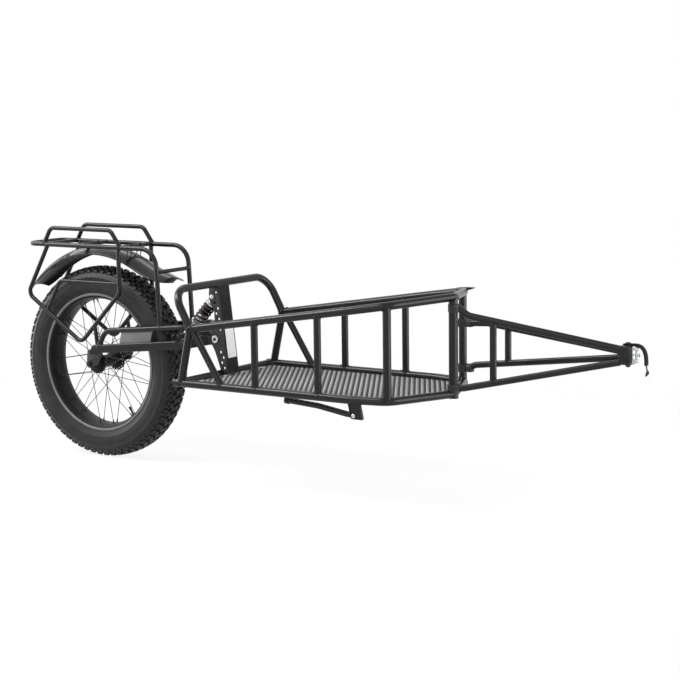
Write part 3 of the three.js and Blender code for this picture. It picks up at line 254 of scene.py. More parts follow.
class TrailerFinishes(bpy.types.PropertyGroup):
    """Colours of the trailer's finishes"""

    frame_colour: colour("Frame paint", "Powder coat on the tubes", 0.0026, 0.0026, 0.0028)
    mast_colour: colour("Mast paint", "Paint on the mast and the clamps", 0.02, 0.02, 0.0215)
    steel_colour: colour("Zinc", "Zinc plated bolts and the hitch's joint", 0.6, 0.61, 0.62)
    mesh_colour: colour("Floor steel", "Expanded metal of the floor", 0.58, 0.58, 0.58)
    tyre_colour: colour("Tyre rubber", "Rubber of the tyre", 0.0095, 0.0095, 0.0098)
    spring_colour: colour("Spring paint", "Paint on the shock's spring", 0.022, 0.012, 0.011)
    floor_colour: colour("Studio floor", "Colour of the floor", 0.93, 0.93, 0.93)


def sizes():
    return bpy.context.scene.trailer_sizes


def colours():
    return bpy.context.scene.trailer_finishes


# Node tools


class Wire:
    """A socket of a node tree, on which Python's signs add Math nodes."""

    def __init__(self, tree, socket):
        self.tree = tree
        self.socket = socket

    def _math(self, operation, *values):
        return Tree(self.tree).node("ShaderNodeMath", dict(enumerate(values)), operation=operation)

    def __add__(self, other):
        return self._math("ADD", self, other)

    def __sub__(self, other):
        return self._math("SUBTRACT", self, other)

    def __rsub__(self, other):
        return self._math("SUBTRACT", other, self)

    def __mul__(self, other):
        return self._math("MULTIPLY", self, other)

    def __rtruediv__(self, other):
        return self._math("DIVIDE", other, self)

    __radd__ = __add__
    __rmul__ = __mul__

    def sine(self):
        return self._math("SINE", self)


class Tree:
    """A node tree, and the one way in which nodes are added to it."""

    def __init__(self, tree):
        self.tree = tree

    def feed(self, socket, value):
        if isinstance(value, Wire):
            self.tree.links.new(value.socket, socket)
        else:
            socket.default_value = value

    def node(self, kind, values=None, output=0, **settings):
        """A node with its settings, then the values or wires of its sockets, by name or number."""
        made = self.tree.nodes.new(kind)
        for name, value in settings.items():
            setattr(made, name, value)
        for name, value in (values or {}).items():
            self.feed(made.inputs[name], value)
        return Wire(self.tree, made.outputs[output]) if made.outputs else None

    def seen(self):
        """1 on the rays by which a surface is seen, mirrored or seen through glass."""
        kinds = ("Is Camera Ray", "Is Glossy Ray", "Is Transmission Ray")
        camera, glossy, transmission = (self.node("ShaderNodeLightPath", output=kind) for kind in kinds)
        return camera + glossy + transmission


class Finish(Tree):
    """A material with a Principled shader and a few ways to vary it over the surface."""

    def __init__(self, name, specular, metallic=0.0, coat=0.0, coat_roughness=0.2):
        self.material = bpy.data.materials.new(name + "_finish")
        self.material.use_nodes = True
        super().__init__(self.material.node_tree)
        self.shader = self.tree.nodes["Principled BSDF"]
        self.shader.inputs["Specular IOR Level"].default_value = specular
        self.shader.inputs["Metallic"].default_value = metallic
        self.shader.inputs["Coat Weight"].default_value = coat
        self.shader.inputs["Coat Roughness"].default_value = coat_roughness
        self.place = self.node("ShaderNodeTexCoord", output="Object")

    def noise(self, scale, detail, stretch=None):
        """Noise over the piece, pulled out along an axis where it is brushed grain."""
        place = self.place
        if stretch:
            place = self.node("ShaderNodeMapping", {"Vector": place, "Scale": stretch}, vector_type="POINT")
        return self.node("ShaderNodeTexNoise", {"Vector": place, "Scale": scale, "Detail": detail})

    def mix(self, factor, first, second):
        both = [value if isinstance(value, Wire) else (*value, 1.0) for value in (first, second)]
        return self.node("ShaderNodeMix", {0: factor, 6: both[0], 7: both[1]}, output=2, data_type="RGBA")

    def ramp(self, factor, low, high):
        """0 below one level and 1 above another."""
        made = self.tree.nodes.new("ShaderNodeValToRGB")
        for stop, place in zip(made.color_ramp.elements, (low, high)):
            stop.position = place
        self.feed(made.inputs[0], factor)
        return Wire(self.tree, made.outputs[0])

    def surface(self, tone, roughness, height=None, depth=0.0, strength=0.0):
        self.feed(self.shader.inputs["Base Color"], tone)
        self.feed(self.shader.inputs["Roughness"], roughness)
        if height is not None:
            bump = self.node("ShaderNodeBump", {"Height": height, "Distance": depth, "Strength": strength})
            self.feed(self.shader.inputs["Normal"], bump)
        return self.material


def lighter(tone, factor):
    return tuple(min(1.0, channel * factor) for channel in tone)


def tone_of(first, second):
    """A colour of the panel and its factor, or the level of a grey and that of its blue."""
    if isinstance(first, str):
        return lighter(getattr(colours(), first), second)
    return (first, first, second)


# Each paint has patches, of noise scale and detail, that blend its two tones and add to its roughness.
# Its grain makes the bumps, of a depth and strength. Without a grain the patches make them.

PAINTS = {
    "frame_paint": dict(
        patch=(6, 4), ramp=(0.35, 0.75), grain=(1400, 2),
        tones=(("frame_colour", 1.0), ("frame_colour", 1.7)),
        rough=(0.26, 0.07), bump=(0.00004, 0.2), specular=0.3,
    ),
    "fastener_steel": dict(
        patch=(90, 4), grain=(900, 2), tones=(("steel_colour", 0.75), ("steel_colour", 1.0)),
        rough=(0.2, 0.22), bump=(0.00005, 0.3), specular=0.5, metallic=0.95,
    ),
    "tyre_rubber": dict(
        patch=(22, 5), ramp=(0.35, 0.7), grain=(1100, 3),
        tones=(("tyre_colour", 1.0), ("tyre_colour", 1.7)),
        rough=(0.4, 0.12), bump=(0.00006, 0.3), specular=0.22,
    ),
    "rim_aluminium": dict(
        patch=(30, 3), grain=(800, 2), tones=((0.006, 0.0062), (0.012, 0.0125)),
        rough=(0.3, 0.15), bump=(0.00004, 0.25), specular=0.1,
    ),
    "spoke_steel": dict(
        patch=(60, 3), tones=((0.03, 0.032), (0.07, 0.073)),
        rough=(0.26, 0.14), bump=(0.00003, 0.2), specular=0.3, metallic=0.5,
    ),
    "fender_plastic": dict(
        patch=(9, 4), grain=(1600, 2), tones=((0.004, 0.0042), (0.008, 0.0083)),
        rough=(0.2, 0.1), bump=(0.00004, 0.25), specular=0.42,
    ),
    "spring_paint": dict(
        patch=(120, 3), tones=(("spring_colour", 0.6), ("spring_colour", 1.5)),
        rough=(0.26, 0.14), bump=(0.00004, 0.25), specular=0.3, coat=0.1, coat_roughness=0.12,
    ),
    "clip_plastic": dict(
        patch=(120, 3), tones=((0.012, 0.012), (0.024, 0.024)),
        rough=(0.4, 0.15), bump=(0.0001, 0.3), specular=0.15,
    ),
    "foot_rubber": dict(
        patch=(700, 3), tones=((0.012, 0.012), (0.028, 0.028)),
        rough=(0.65, 0.2), bump=(0.0002, 0.5), specular=0.1,
    ),
    "rim_lip": dict(
        patch=(40, 5), tones=((0.09, 0.092), (0.17, 0.172)),
        rough=(0.36, 0.14), bump=(0.00003, 0.2), specular=0.4, metallic=0.4,
    ),
    "plate_grey": dict(
        patch=(35, 4), grain=(900, 2), tones=((0.085, 0.087), (0.13, 0.132)),
        rough=(0.4, 0.15), bump=(0.00004, 0.2), specular=0.25,
    ),
    "bare_label": dict(
        patch=(500, 3), stretch=(1, 1, 0.05), tones=((0.62, 0.63), (0.8, 0.81)),
        rough=(0.4, 0.15), bump=(0.00003, 0.2), specular=0.4, metallic=0.2,
    ),
}


def painted(name, patch, tones, rough, bump, grain=None, ramp=None, stretch=None, **shader):
    made = Finish(name, **shader)
    patches = made.noise(*patch, stretch)
    if ramp:
        patches = made.ramp(patches, *ramp)
    fine = made.noise(*grain) if grain else patches
    tone = made.mix(patches, *(tone_of(*pair) for pair in tones))
    return made.surface(tone, rough[0] + rough[1] * patches, fine, *bump)


def mast_paint(name):
    """Thin grey paint over sheet steel, with faint rolling marks."""
    made = Finish(name, specular=0.18)
    base = colours().mast_colour
    marks = made.noise(60, 6, (1, 1, 0.15))
    spots = made.ramp(made.noise(420, 2), 0.52, 0.66)
    return made.surface(made.mix(spots, base, lighter(base, 2.2)), 0.34 + 0.2 * marks, spots, 0.00008, 0.3)


# The floor's strands: how light they are beside the floor's colour, and how glossy. The darker set is painted
# shade

STRANDS = {"mesh_steel": (1.0, 0.5), "mesh_shaded": (0.13, 0.1)}


def floor_steel(name):
    """Dull sheet steel, with painted highlight on the strands' upper edges and painted shade where they dip.
    """
    shade, specular = STRANDS[name]
    made = Finish(name, specular=specular)
    base = lighter(colours().mesh_colour, shade)
    cloud = made.ramp(made.noise(14, 5), 0.3, 0.7)
    grain = made.noise(700, 3)
    level = sum(corner.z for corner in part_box("floor_mesh")) / 2
    height = made.node("ShaderNodeSeparateXYZ", {0: made.place}, output=2)
    # Painted highlight and shade: full colour at the strands' upper edges, 0.6 of it where they dip
    edge = made.ramp((height - (level - 0.0013)) * 400.0 + 0.25 * cloud, 0.1, 0.95)
    return made.surface(made.mix(edge, lighter(base, 0.6), base), 0.32 + 0.16 * grain, grain, 0.0001, 0.3)


def strap_webbing(name):
    """Woven ribs across the strap, drawn on its own unwrapped length and width."""
    made = Finish(name, specular=0.08)
    flat = made.node("ShaderNodeTexCoord", output="UV")
    along, across = (made.node("ShaderNodeSeparateXYZ", {0: flat}, output=k) for k in (0, 1))
    rib = (along * 4200.0).sine() * (across * 60.0).sine()
    fuzz = made.noise(900, 3)
    tone = made.mix(0.5 + 0.5 * rib, (0.006, 0.006, 0.0063), (0.018, 0.018, 0.0185))
    return made.surface(tone, 0.7 + 0.2 * fuzz, rib + 0.4 * fuzz, 0.0003, 0.5)


PATTERNED = {
    "mast_paint": mast_paint,
    "mesh_steel": floor_steel,
    "mesh_shaded": floor_steel,
    "strap_webbing": strap_webbing,
}


def finish(name):
    """The material of that name, made when it is first asked for."""
    known = bpy.data.materials.get(name + "_finish")
    if known:
        return known
    return painted(name, **PAINTS[name]) if name in PAINTS else PATTERNED[name](name)


def placed(name, data):
    """A new object in the scene."""
    made = bpy.data.objects.new(name, data)
    bpy.context.scene.collection.objects.link(made)
    return made


class Pattern(Tree):
    """A Geometry Nodes tree, with named numbers, that ends in Realize Instances and Set Material."""

    def __init__(self, name, **numbers):
        super().__init__(bpy.data.node_groups.new(name, "GeometryNodeTree"))
        for way in ("INPUT", "OUTPUT"):
            self.tree.interface.new_socket("Geometry", in_out=way, socket_type="NodeSocketGeometry")
        for label, value in numbers.items():
            socket = self.tree.interface.new_socket(label, in_out="INPUT", socket_type="NodeSocketInt")
            socket.default_value = value
        self.start = self.tree.nodes.new("NodeGroupInput")

    def given(self, label):
        return Wire(self.tree, self.start.outputs[label])

    def run(self, data, material, copies, **numbers):
        """Sets the copies up, runs the tree on some data and gives the plain mesh that it makes."""
        many = self.node("GeometryNodeInstanceOnPoints", copies)
        solid = self.node("GeometryNodeRealizeInstances", {0: many})
        dressed = self.node("GeometryNodeSetMaterial", {0: solid, "Material": material})
        self.node("NodeGroupOutput", {0: dressed})
        holder = placed(data.name + "_holder", data)
        modifier = holder.modifiers.new("pattern", "NODES")
        modifier.node_group = self.tree
        for item in self.tree.interface.items_tree:
            if item.name in numbers:
                modifier[item.identifier] = numbers[item.name]
        graph = bpy.context.evaluated_depsgraph_get()
        graph.update()
        mesh = bpy.data.meshes.new_from_object(holder.evaluated_get(graph))
        holder.modifiers.remove(modifier)
        bpy.data.objects.remove(holder)
        return mesh


def ring_of_copies(name, shape, count, material):
    """Copies of one shape, made about the origin, turned round an axis to the left through it."""
    pattern = Pattern(name, Count=12)
    angle = pattern.node("GeometryNodeInputIndex") * (2 * math.pi / pattern.given("Count"))
    copies = {
        "Points": pattern.node("GeometryNodePoints", {"Count": pattern.given("Count")}),
        "Instance": pattern.given("Geometry"),
        "Rotation": pattern.node("ShaderNodeVectorMath", {0: LEFT, "Scale": angle}, operation="SCALE"),
    }
    return pattern.run(shape.mesh(name + "_one"), material, copies, Count=count)


def copies_on_points(name, shape, places, material):
    """Copies of one shape at a list of places."""
    pattern = Pattern(name)
    one = placed(name + "_one", shape.mesh(name + "_one"))
    source = pattern.node("GeometryNodeObjectInfo", {"Object": one}, output="Geometry")
    points = bpy.data.meshes.new(name + "_places")
    points.from_pydata(places, [], [])
    mesh = pattern.run(points, material, {"Points": pattern.given("Geometry"), "Instance": source})
    bpy.data.objects.remove(one)
    return mesh


# Shape tools


def vectors(points):
    return [Vector(point) for point in points]


def ray(angle):
    """A direction in the trailer's side plane, turned up from straight forward."""
    return Vector((math.cos(angle), 0, math.sin(angle)))


BEND_STEP = math.radians(6)


def bent(corners, radius):
    """Stations along straight runs and round bends. radius is one number, or one for each inner corner."""
    corners = vectors(corners)
    stations = [corners[0]]
    for i in range(1, len(corners) - 1):
        bend = radius[i - 1] if isinstance(radius, list) else radius
        before = (corners[i] - corners[i - 1]).normalized()
        after = (corners[i + 1] - corners[i]).normalized()
        turn = before.angle(after)
        inward = (after - before * after.dot(before)).normalized()
        centre = corners[i] - before * (bend * math.tan(turn / 2)) + inward * bend
        count = max(2, math.ceil(turn / BEND_STEP))
        for k in range(count + 1):
            angle = turn * k / count
            stations.append(centre - inward * (bend * math.cos(angle)) + before * (bend * math.sin(angle)))
    return [*stations, corners[-1]]


def bend_middle(before, corner, after, radius):
    """The middle of a round bend at a corner."""
    to_before = (before - corner).normalized()
    to_after = (after - corner).normalized()
    half = to_before.angle(to_after) / 2
    return corner + (to_before + to_after).normalized() * (radius / math.sin(half) - radius)


def smooth_line(points, count):
    """A Catmull-Rom line through given points."""
    points = vectors(points)
    full = [2 * points[0] - points[1], *points, 2 * points[-1] - points[-2]]
    line = []
    for a, b, c, d in zip(full, full[1:], full[2:], full[3:]):
        for k in range(count):
            t = k / count
            square = (2 * a - 5 * b + 4 * c - d) * t**2
            line.append(0.5 * (2 * b + (c - a) * t + square + (3 * b - a - 3 * c + d) * t**3))
    return [*line, points[-1]]


def circle(radius, sides):
    turns = [2 * math.pi * k / sides for k in range(sides)]
    return [(radius * math.cos(turn), radius * math.sin(turn)) for turn in turns]


def arc(x, z, radius, start, step, count):
    """Points of an outline on a circle, with its angles in degrees."""
    turns = [math.radians(start + step * k) for k in range(count)]
    return [(x + radius * math.cos(turn), z + radius * math.sin(turn)) for turn in turns]


def rounded_section(width, height, corner, steps=4):
    """A rectangle with round corners, for flat-sided tubes and straps."""
    ring = []
    for quarter, (sx, sy) in enumerate(((1, 1), (-1, 1), (-1, -1), (1, -1))):
        x = sx * (width / 2 - corner)
        y = sy * (height / 2 - corner)
        ring += arc(x, y, corner, 90 * quarter, 90 / steps, steps + 1)
    return ring


def mirrored(half):
    """A turned piece's profile from its left half, ordered from the left end to the right."""
    return [*half, *((r, -y) for r, y in reversed(half))]


class Shape:
    """A mesh under construction, in the trailer's own frame."""

    def __init__(self):
        self.bm = bmesh.new()
        self.uv = self.bm.loops.layers.uv.new("UVMap")

    def face(self, corners, flat):
        for loop, uv in zip(self.bm.faces.new(corners).loops, flat):
            loop[self.uv].uv = uv

    def rings(self, rings, closed=False, caps=True, along=None):
        """Skins a row of rings that all have the same number of points."""
        rows = [[self.bm.verts.new(p) for p in ring] for ring in rings]
        count = len(rows[0])
        reach = along or [0.0] * (len(rows) + 1)
        for i in range(len(rows) if closed else len(rows) - 1):
            here = rows[i]
            there = rows[(i + 1) % len(rows)]
            u = reach[i]
            v = reach[i + 1]
            for j in range(count):
                nxt = (j + 1) % count
                low = j / count
                high = (j + 1) / count
                flat = ((u, low), (u, high), (v, high), (v, low))
                self.face((here[j], here[nxt], there[nxt], there[j]), flat)
        if caps and not closed:
            self.bm.faces.new(list(reversed(rows[0])))
            self.bm.faces.new(rows[-1])
        return self

    def sweep(self, path, section, side=UP, closed=False, scale=None):
        """Carries a section along a path without twisting it."""
        path = vectors(path)
        last = len(path) - 1
        runs = [(path[(i + 1) % len(path)] - p).normalized() for i, p in enumerate(path)]
        tangents = []
        for i in range(len(path)):
            before = runs[i - 1] if (closed or i > 0) else runs[0]
            after = runs[i] if (closed or i < last) else runs[last - 1]
            tangents.append((before + after).normalized())
        normal = Vector(side)
        if abs(normal.normalized().dot(tangents[0])) > 0.95:
            normal = LEFT if abs(tangents[0].y) < 0.9 else FORWARD
        normal = (normal - tangents[0] * normal.dot(tangents[0])).normalized()
        rings = []
        reach = [0.0]
        for i, (p, tangent) in enumerate(zip(path, tangents)):
            if i:
                normal = tangents[i - 1].rotation_difference(tangent) @ normal
                normal = (normal - tangent * normal.dot(tangent)).normalized()
                reach.append(reach[-1] + (p - path[i - 1]).length)
            across = tangent.cross(normal)
            size = scale[i] if scale else 1.0
            rings.append([p + normal * (a * size) + across * (b * size) for a, b in section])
        reach.append(reach[-1] + (path[0] - path[-1]).length)
        return self.rings(rings, closed=closed, along=reach)

    def tube(self, path, radius, sides=20):
        return self.sweep(path, circle(radius, sides))

    def turned(self, profile, start, axis, segments, closed=False):
        """A turned piece. On its outer side the profile, of radius and place along, runs along the axis."""
        start = Vector(start)
        axis = Vector(axis).normalized()
        e1 = axis.orthogonal().normalized()
        e2 = axis.cross(e1)
        columns = []
        for k in range(segments):
            angle = 2 * math.pi * k / segments
            out = e1 * math.cos(angle) + e2 * math.sin(angle)
            columns.append([self.bm.verts.new(start + out * r + axis * along) for r, along in profile])
        size = len(profile)
        for k in range(segments):
            here = columns[k]
            there = columns[(k + 1) % segments]
            for i in range(size if closed else size - 1):
                up = (i + 1) % size
                flat = [(u / segments, v / size) for u, v in ((k, i), (k + 1, i), (k + 1, i + 1), (k, i + 1))]
                self.face((here[i], there[i], there[up], here[up]), flat)
        return self

    def bar(self, start, end, radius, segments=24, chamfer=0.0006):
        """A round bar with chamfered ends."""
        run = Vector(end) - Vector(start)
        length = run.length
        edge = min(chamfer, radius / 2, length / 3)
        rim = radius - edge
        profile = [(0, 0), (rim, 0), (radius, edge), (radius, length - edge), (rim, length), (0, length)]
        return self.turned(profile, start, run, segments)

    def hexagon(self, start, axis, across, height):
        """A hexagon nut or bolt head."""
        radius = across / 2 / math.cos(math.pi / 6)
        profile = [(0, 0), (radius, 0), (radius, height * 0.8), (radius * 0.86, height), (0, height)]
        return self.turned(profile, start, axis, 6)

    def washer(self, start, axis, outer, inner, height):
        profile = [(outer, 0), (outer, height), (inner, height), (inner, 0)]
        return self.turned(profile, start, axis, 28, closed=True)

    def sleeve(self, middle, outer, inner, half, edges):
        """A turned eye or bush across the trailer. Its edges step in by pairs of depth and length."""
        rise = [(outer - depth, along) for depth, along in edges]
        fall = [(r, 2 * half - along) for r, along in reversed(rise)]
        profile = [(inner, 0), *rise, *fall, (inner, 2 * half)]
        return self.turned(profile, middle - LEFT * half, LEFT, 32, closed=True)

    def block(self, low, high, edge, turn=None, segments=2):
        """A box with rounded edges, turned about its middle if a rotation is given."""
        low = Vector(low)
        high = Vector(high)
        place = Matrix.Translation((low + high) / 2)
        if turn is not None:
            place = place @ turn
        made = bmesh.ops.create_cube(self.bm, size=1.0, matrix=place @ Matrix.Diagonal((*(high - low), 1.0)))
        edges = dict.fromkeys(e for v in made["verts"] for e in v.link_edges)
        self.bevel(edges, edge, segments, profile=0.5)
        return self

    def bevel(self, edges, offset, segments, **settings):
        bmesh.ops.bevel(
            self.bm, geom=list(edges), offset=offset, segments=segments, affect="EDGES",
            clamp_overlap=True, **settings,
        )

    def plate(self, outline, y, thickness, holes=(), edge=0.0005):
        """A flat upright plate along the trailer: its outline, and round holes as (x, z, radius)."""
        curve = bpy.data.curves.new("outline", "CURVE")
        curve.dimensions = "2D"
        curve.fill_mode = "BOTH"
        curve.extrude = thickness / 2 - edge
        curve.bevel_depth = edge
        curve.bevel_resolution = 1
        curve.offset = -edge
        for ring in [outline] + [[(x + a, z + b) for a, b in circle(r, 24)] for x, z, r in holes]:
            spline = curve.splines.new("POLY")
            spline.points.add(len(ring) - 1)
            spline.use_cyclic_u = True
            for point, (x, z) in zip(spline.points, ring):
                point.co = (x, z, 0, 1)
        holder = bpy.data.objects.new("outline", curve)
        mesh = bpy.data.meshes.new_from_object(holder)
        mesh.transform(Matrix.Translation((0, y, 0)) @ Matrix.Rotation(math.pi / 2, 4, "X"))
        self.bm.from_mesh(mesh)
        bpy.data.objects.remove(holder)
        bpy.data.curves.remove(curve)
        bpy.data.meshes.remove(mesh)
        return self

    def weld(self, foot, direction, radius, host_axis, host_radius, bead=None, host=None):
        """A rippled bead where a tube lands on a round host, whose axis passes the foot or another point."""
        bead = bead or sizes().weld_bead
        direction = Vector(direction).normalized()
        host_axis = Vector(host_axis).normalized()
        e1 = direction.orthogonal().normalized()
        e2 = direction.cross(e1)
        d = direction - host_axis * direction.dot(host_axis)
        path = []
        scale = []
        for k in range(40):
            angle = 2 * math.pi * k / 40
            p = foot + (e1 * math.cos(angle) + e2 * math.sin(angle)) * (radius + bead * 0.2)
            q = p - Vector(host or foot)
            q -= host_axis * q.dot(host_axis)
            a = d.length_squared
            b = q.dot(d)
            root = math.sqrt(max(0.0, b * b - a * (q.length_squared - host_radius**2)))
            path.append(p + direction * ((root - b) / a))
            scale.append(1.0 + 0.16 * math.sin(angle * 14))
        return self.sweep(path, circle(bead, 6), side=direction, closed=True, scale=scale)

    def outward(self):
        """Turns the faces of a mirrored or hand-made shape outward."""
        bmesh.ops.remove_doubles(self.bm, verts=self.bm.verts, dist=1e-6)
        bmesh.ops.recalc_face_normals(self.bm, faces=self.bm.faces)
        return self

    def mesh(self, name):
        bmesh.ops.remove_doubles(self.bm, verts=self.bm.verts, dist=1e-6)
        made = bpy.data.meshes.new(name)
        self.bm.to_mesh(made)
        self.bm.free()
        return smoothed(made)


def smoothed(mesh):
    mesh.shade_smooth()
    mesh.set_sharp_from_angle(angle=math.radians(38))
    return mesh


# The basket's lines, shared by several pieces


def upper_height(offset):
    if offset > SHOULDER:
        share = (offset - SHOULDER) / (NOSE - SHOULDER)
        return UPPER_SHOULDER_Z + share * (UPPER_NOSE_Z - UPPER_SHOULDER_Z)
    share = (offset - HOOP_KNEE) / (SHOULDER - HOOP_KNEE)
    return UPPER_REAR_Z + share * (UPPER_SHOULDER_Z - UPPER_REAR_Z)


def plan(offset, y, z=0.0):
    return Vector((CROSSBAR_X + offset, y, z))


def corner_middle():
    """The middle of the left shoulder's bend, where the shoulder post stands."""
    return bend_middle(plan(TAPER, HALF_WIDTH), plan(SHOULDER, SHOULDER_Y), plan(NOSE, 0), SHOULDER_BEND)


def nose_middle():
    return bend_middle(plan(SHOULDER, SHOULDER_Y), plan(NOSE, 0), plan(SHOULDER, -SHOULDER_Y), NOSE_BEND)


def both_ways(side, middle=()):
    """Corners of a line that runs over one side, a middle, and back over the mirrored side."""
    return [*side, *middle, *(Vector((p.x, -p.y, p.z)) for p in reversed(side))]


def lower_line():
    nose_x = nose_middle().x - CROSSBAR_X
    side = [(nose_x, 0.002), (SHOULDER, SHOULDER_Y), (TAPER, HALF_WIDTH), (0.0, HALF_WIDTH)]
    bends = [SHOULDER_BEND, TAPER_BEND, REAR_BEND]
    return bent(both_ways([plan(x, -y, LOWER_Z) for x, y in side]), bends + bends[::-1])


def upper_line():
    side = [(HOOP_KNEE, HALF_WIDTH), (TAPER, HALF_WIDTH), (SHOULDER, SHOULDER_Y)]
    corners = both_ways([plan(x, y, upper_height(x)) for x, y in side], [plan(NOSE, 0, upper_height(NOSE))])
    return bent(corners, [TAPER_BEND, SHOULDER_BEND, NOSE_BEND, SHOULDER_BEND, TAPER_BEND])


def hoop_line():
    side = [(HOOP_FOOT, LOWER_Z), (HOOP_KNEE, UPPER_REAR_Z), (HOOP_TOP, HOOP_Z)]
    corners = both_ways([plan(x, -HALF_WIDTH, z) for x, z in side])
    return bent(corners, [KNEE_BEND, HOOP_BEND, HOOP_BEND, KNEE_BEND])


class TrailerOperator(bpy.types.Operator):
    """Base of the trailer's operators"""

    bl_options = {"REGISTER", "UNDO"}
    body = "basket"

    def execute(self, context):
        self.make()
        return {"FINISHED"}

    def put(self, name, shape, *nodes, slot="frame_paint", look=None, body=None):
        """Turns a shape or a mesh into a piece that rides on a body and stands for CAD nodes."""
        mesh = shape.mesh(name) if isinstance(shape, Shape) else shape
        mesh.name = name
        mesh.materials.clear()
        mesh.materials.append(finish(look or slot))
        piece = placed(name, mesh)
        if nodes:
            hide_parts(*nodes)
        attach(piece, body or self.body)
        return piece


class TRAILER_OT_stage(TrailerOperator):
    """Camera, floor, world and lamps"""

    bl_idname = "trailer.stage"
    bl_label = "Stage"

    def make(self):
        self.camera()
        self.floor()
        self.world()
        self.lamps()
        bpy.context.scene.view_settings.view_transform = "Standard"

    def stand(self, item, place, right, up, back):
        """Puts a camera or lamp at a place, with its own three axes."""
        item.matrix_world = Matrix.Translation(place) @ Matrix((right, up, back)).transposed().to_4x4()

    def camera(self):
        data = bpy.data.cameras.new("camera")
        data.lens = CAMERA_LENS
        data.sensor_width = 36.0
        data.clip_end = 60.0
        camera = placed("camera", data)
        level = math.cos(CAMERA_RISE)
        ahead = level * math.sin(CAMERA_AZIMUTH)
        across = -level * math.cos(CAMERA_AZIMUTH)
        away = Vector((ahead, across, math.sin(CAMERA_RISE)))
        right = (-away).cross(UP).normalized()
        up = right.cross(-away)
        turned_right = right * math.cos(CAMERA_ROLL) + up * math.sin(CAMERA_ROLL)
        turned_up = up * math.cos(CAMERA_ROLL) - right * math.sin(CAMERA_ROLL)
        self.stand(camera, CAMERA_TARGET + away * CAMERA_DISTANCE, turned_right, turned_up, away)
        bpy.context.scene.camera = camera

    def floor(self):
        low = (-FLOOR_HALF, -FLOOR_HALF, -0.02)
        shape = Shape().block(low, (FLOOR_HALF, FLOOR_HALF, 0.0), 0.001, segments=1)
        floor = placed("studio_floor", shape.mesh("studio_floor"))
        made = Finish("studio_floor", specular=0.1)
        grain = made.noise(3, 2)
        base = colours().floor_colour
        paint = made.surface(made.mix(grain, base, lighter(base, 1.02)), 0.85 + 0.1 * grain)
        floor.data.materials.append(paint)
        self.fade_to_white(made)

    def fade_to_white(self, made):
        """Away from the trailer, the floor as it is seen or mirrored turns into the white backdrop."""
        reach = made.node("ShaderNodeVectorMath", {0: made.place}, output=1, operation="LENGTH")
        span = {"Value": reach, **FLOOR_FADE}
        far = made.node("ShaderNodeMapRange", span, interpolation_type="SMOOTHSTEP")
        white = made.node("ShaderNodeEmission")
        paint = Wire(made.tree, made.shader.outputs[0])
        blend = made.node("ShaderNodeMixShader", {0: far * made.seen(), 1: paint, 2: white})
        made.feed(made.tree.nodes["Material Output"].inputs["Surface"], blend)

    def world(self):
        world = bpy.data.worlds.new("studio")
        bpy.context.scene.world = world
        world.use_nodes = True
        world.node_tree.nodes.clear()
        tree = Tree(world.node_tree)
        white = (1, 1, 1, 1)
        powers = (WORLD_LIGHT, WORLD_SEEN)
        light, shown = (tree.node("ShaderNodeBackground", {0: white, 1: power}) for power in powers)
        blend = tree.node("ShaderNodeMixShader", {0: tree.seen(), 1: light, 2: shown})
        tree.node("ShaderNodeOutputWorld", {0: blend})

    def lamps(self):
        """Soft rectangles: place, target, long axis, length, width and power."""
        table = {
            "top_rear_lamp": ((-2.25, -1.1, 2.3), (-0.8, 0.0, 0.4), FORWARD, 1.6, 0.9, 62.0),
            "top_front_lamp": ((-0.75, -1.15, 2.4), (0.1, 0.0, 0.4), FORWARD, 1.6, 0.42, 31.0),
            "back_lamp": ((-1.6, 1.25, 2.3), (-0.4, 0.0, 0.4), FORWARD, 3.2, 0.6, 14.0),
            "right_lamp": ((2.04, 0.48, 0.62), (0.1, 0.0, 0.4), UP, 1.2, 2.3, 38.0),
            "rear_lamp": ((-3.3, -0.7, 0.9), (-0.6, 0.0, 0.35), UP, 1.8, 2.4, 44.0),
            "side_lamp": ((0.35, -2.9, 1.2), (0.1, 0.0, 0.35), UP, 1.6, 1.6, 12.0),
        }
        for name, (place, target, along, long, wide, power) in table.items():
            data = bpy.data.lights.new(name, "AREA")
            data.energy = power
            data.shape = "RECTANGLE"
            data.size = long
            data.size_y = wide
            lamp = placed(name, data)
            back = (Vector(place) - Vector(target)).normalized()
            right = (along - back * back.dot(along)).normalized()
            self.stand(lamp, place, right, back.cross(right), back)
            lamp.visible_camera = False


# The strap's points are those of the CAD model's strap

STRAP_POINTS = [
    (0.95, 0.4388), (0.963, 0.4388), (0.976, 0.4388), (0.988, 0.4386), (0.998, 0.4355),
    (1.006, 0.4285), (1.011, 0.418), (1.0135, 0.404), (1.014, 0.388),
]
STRAP_WIDTH = 0.013
STRAP_SHEET = 0.003
STRAP_BULK = 0.0068
LANYARD_WIRE = 0.001
HOOK_RADIUS = 0.0056
HOOK_WIRE = 0.0022
RING_RADIUS = 0.0068
RING_WIRE = 0.0012


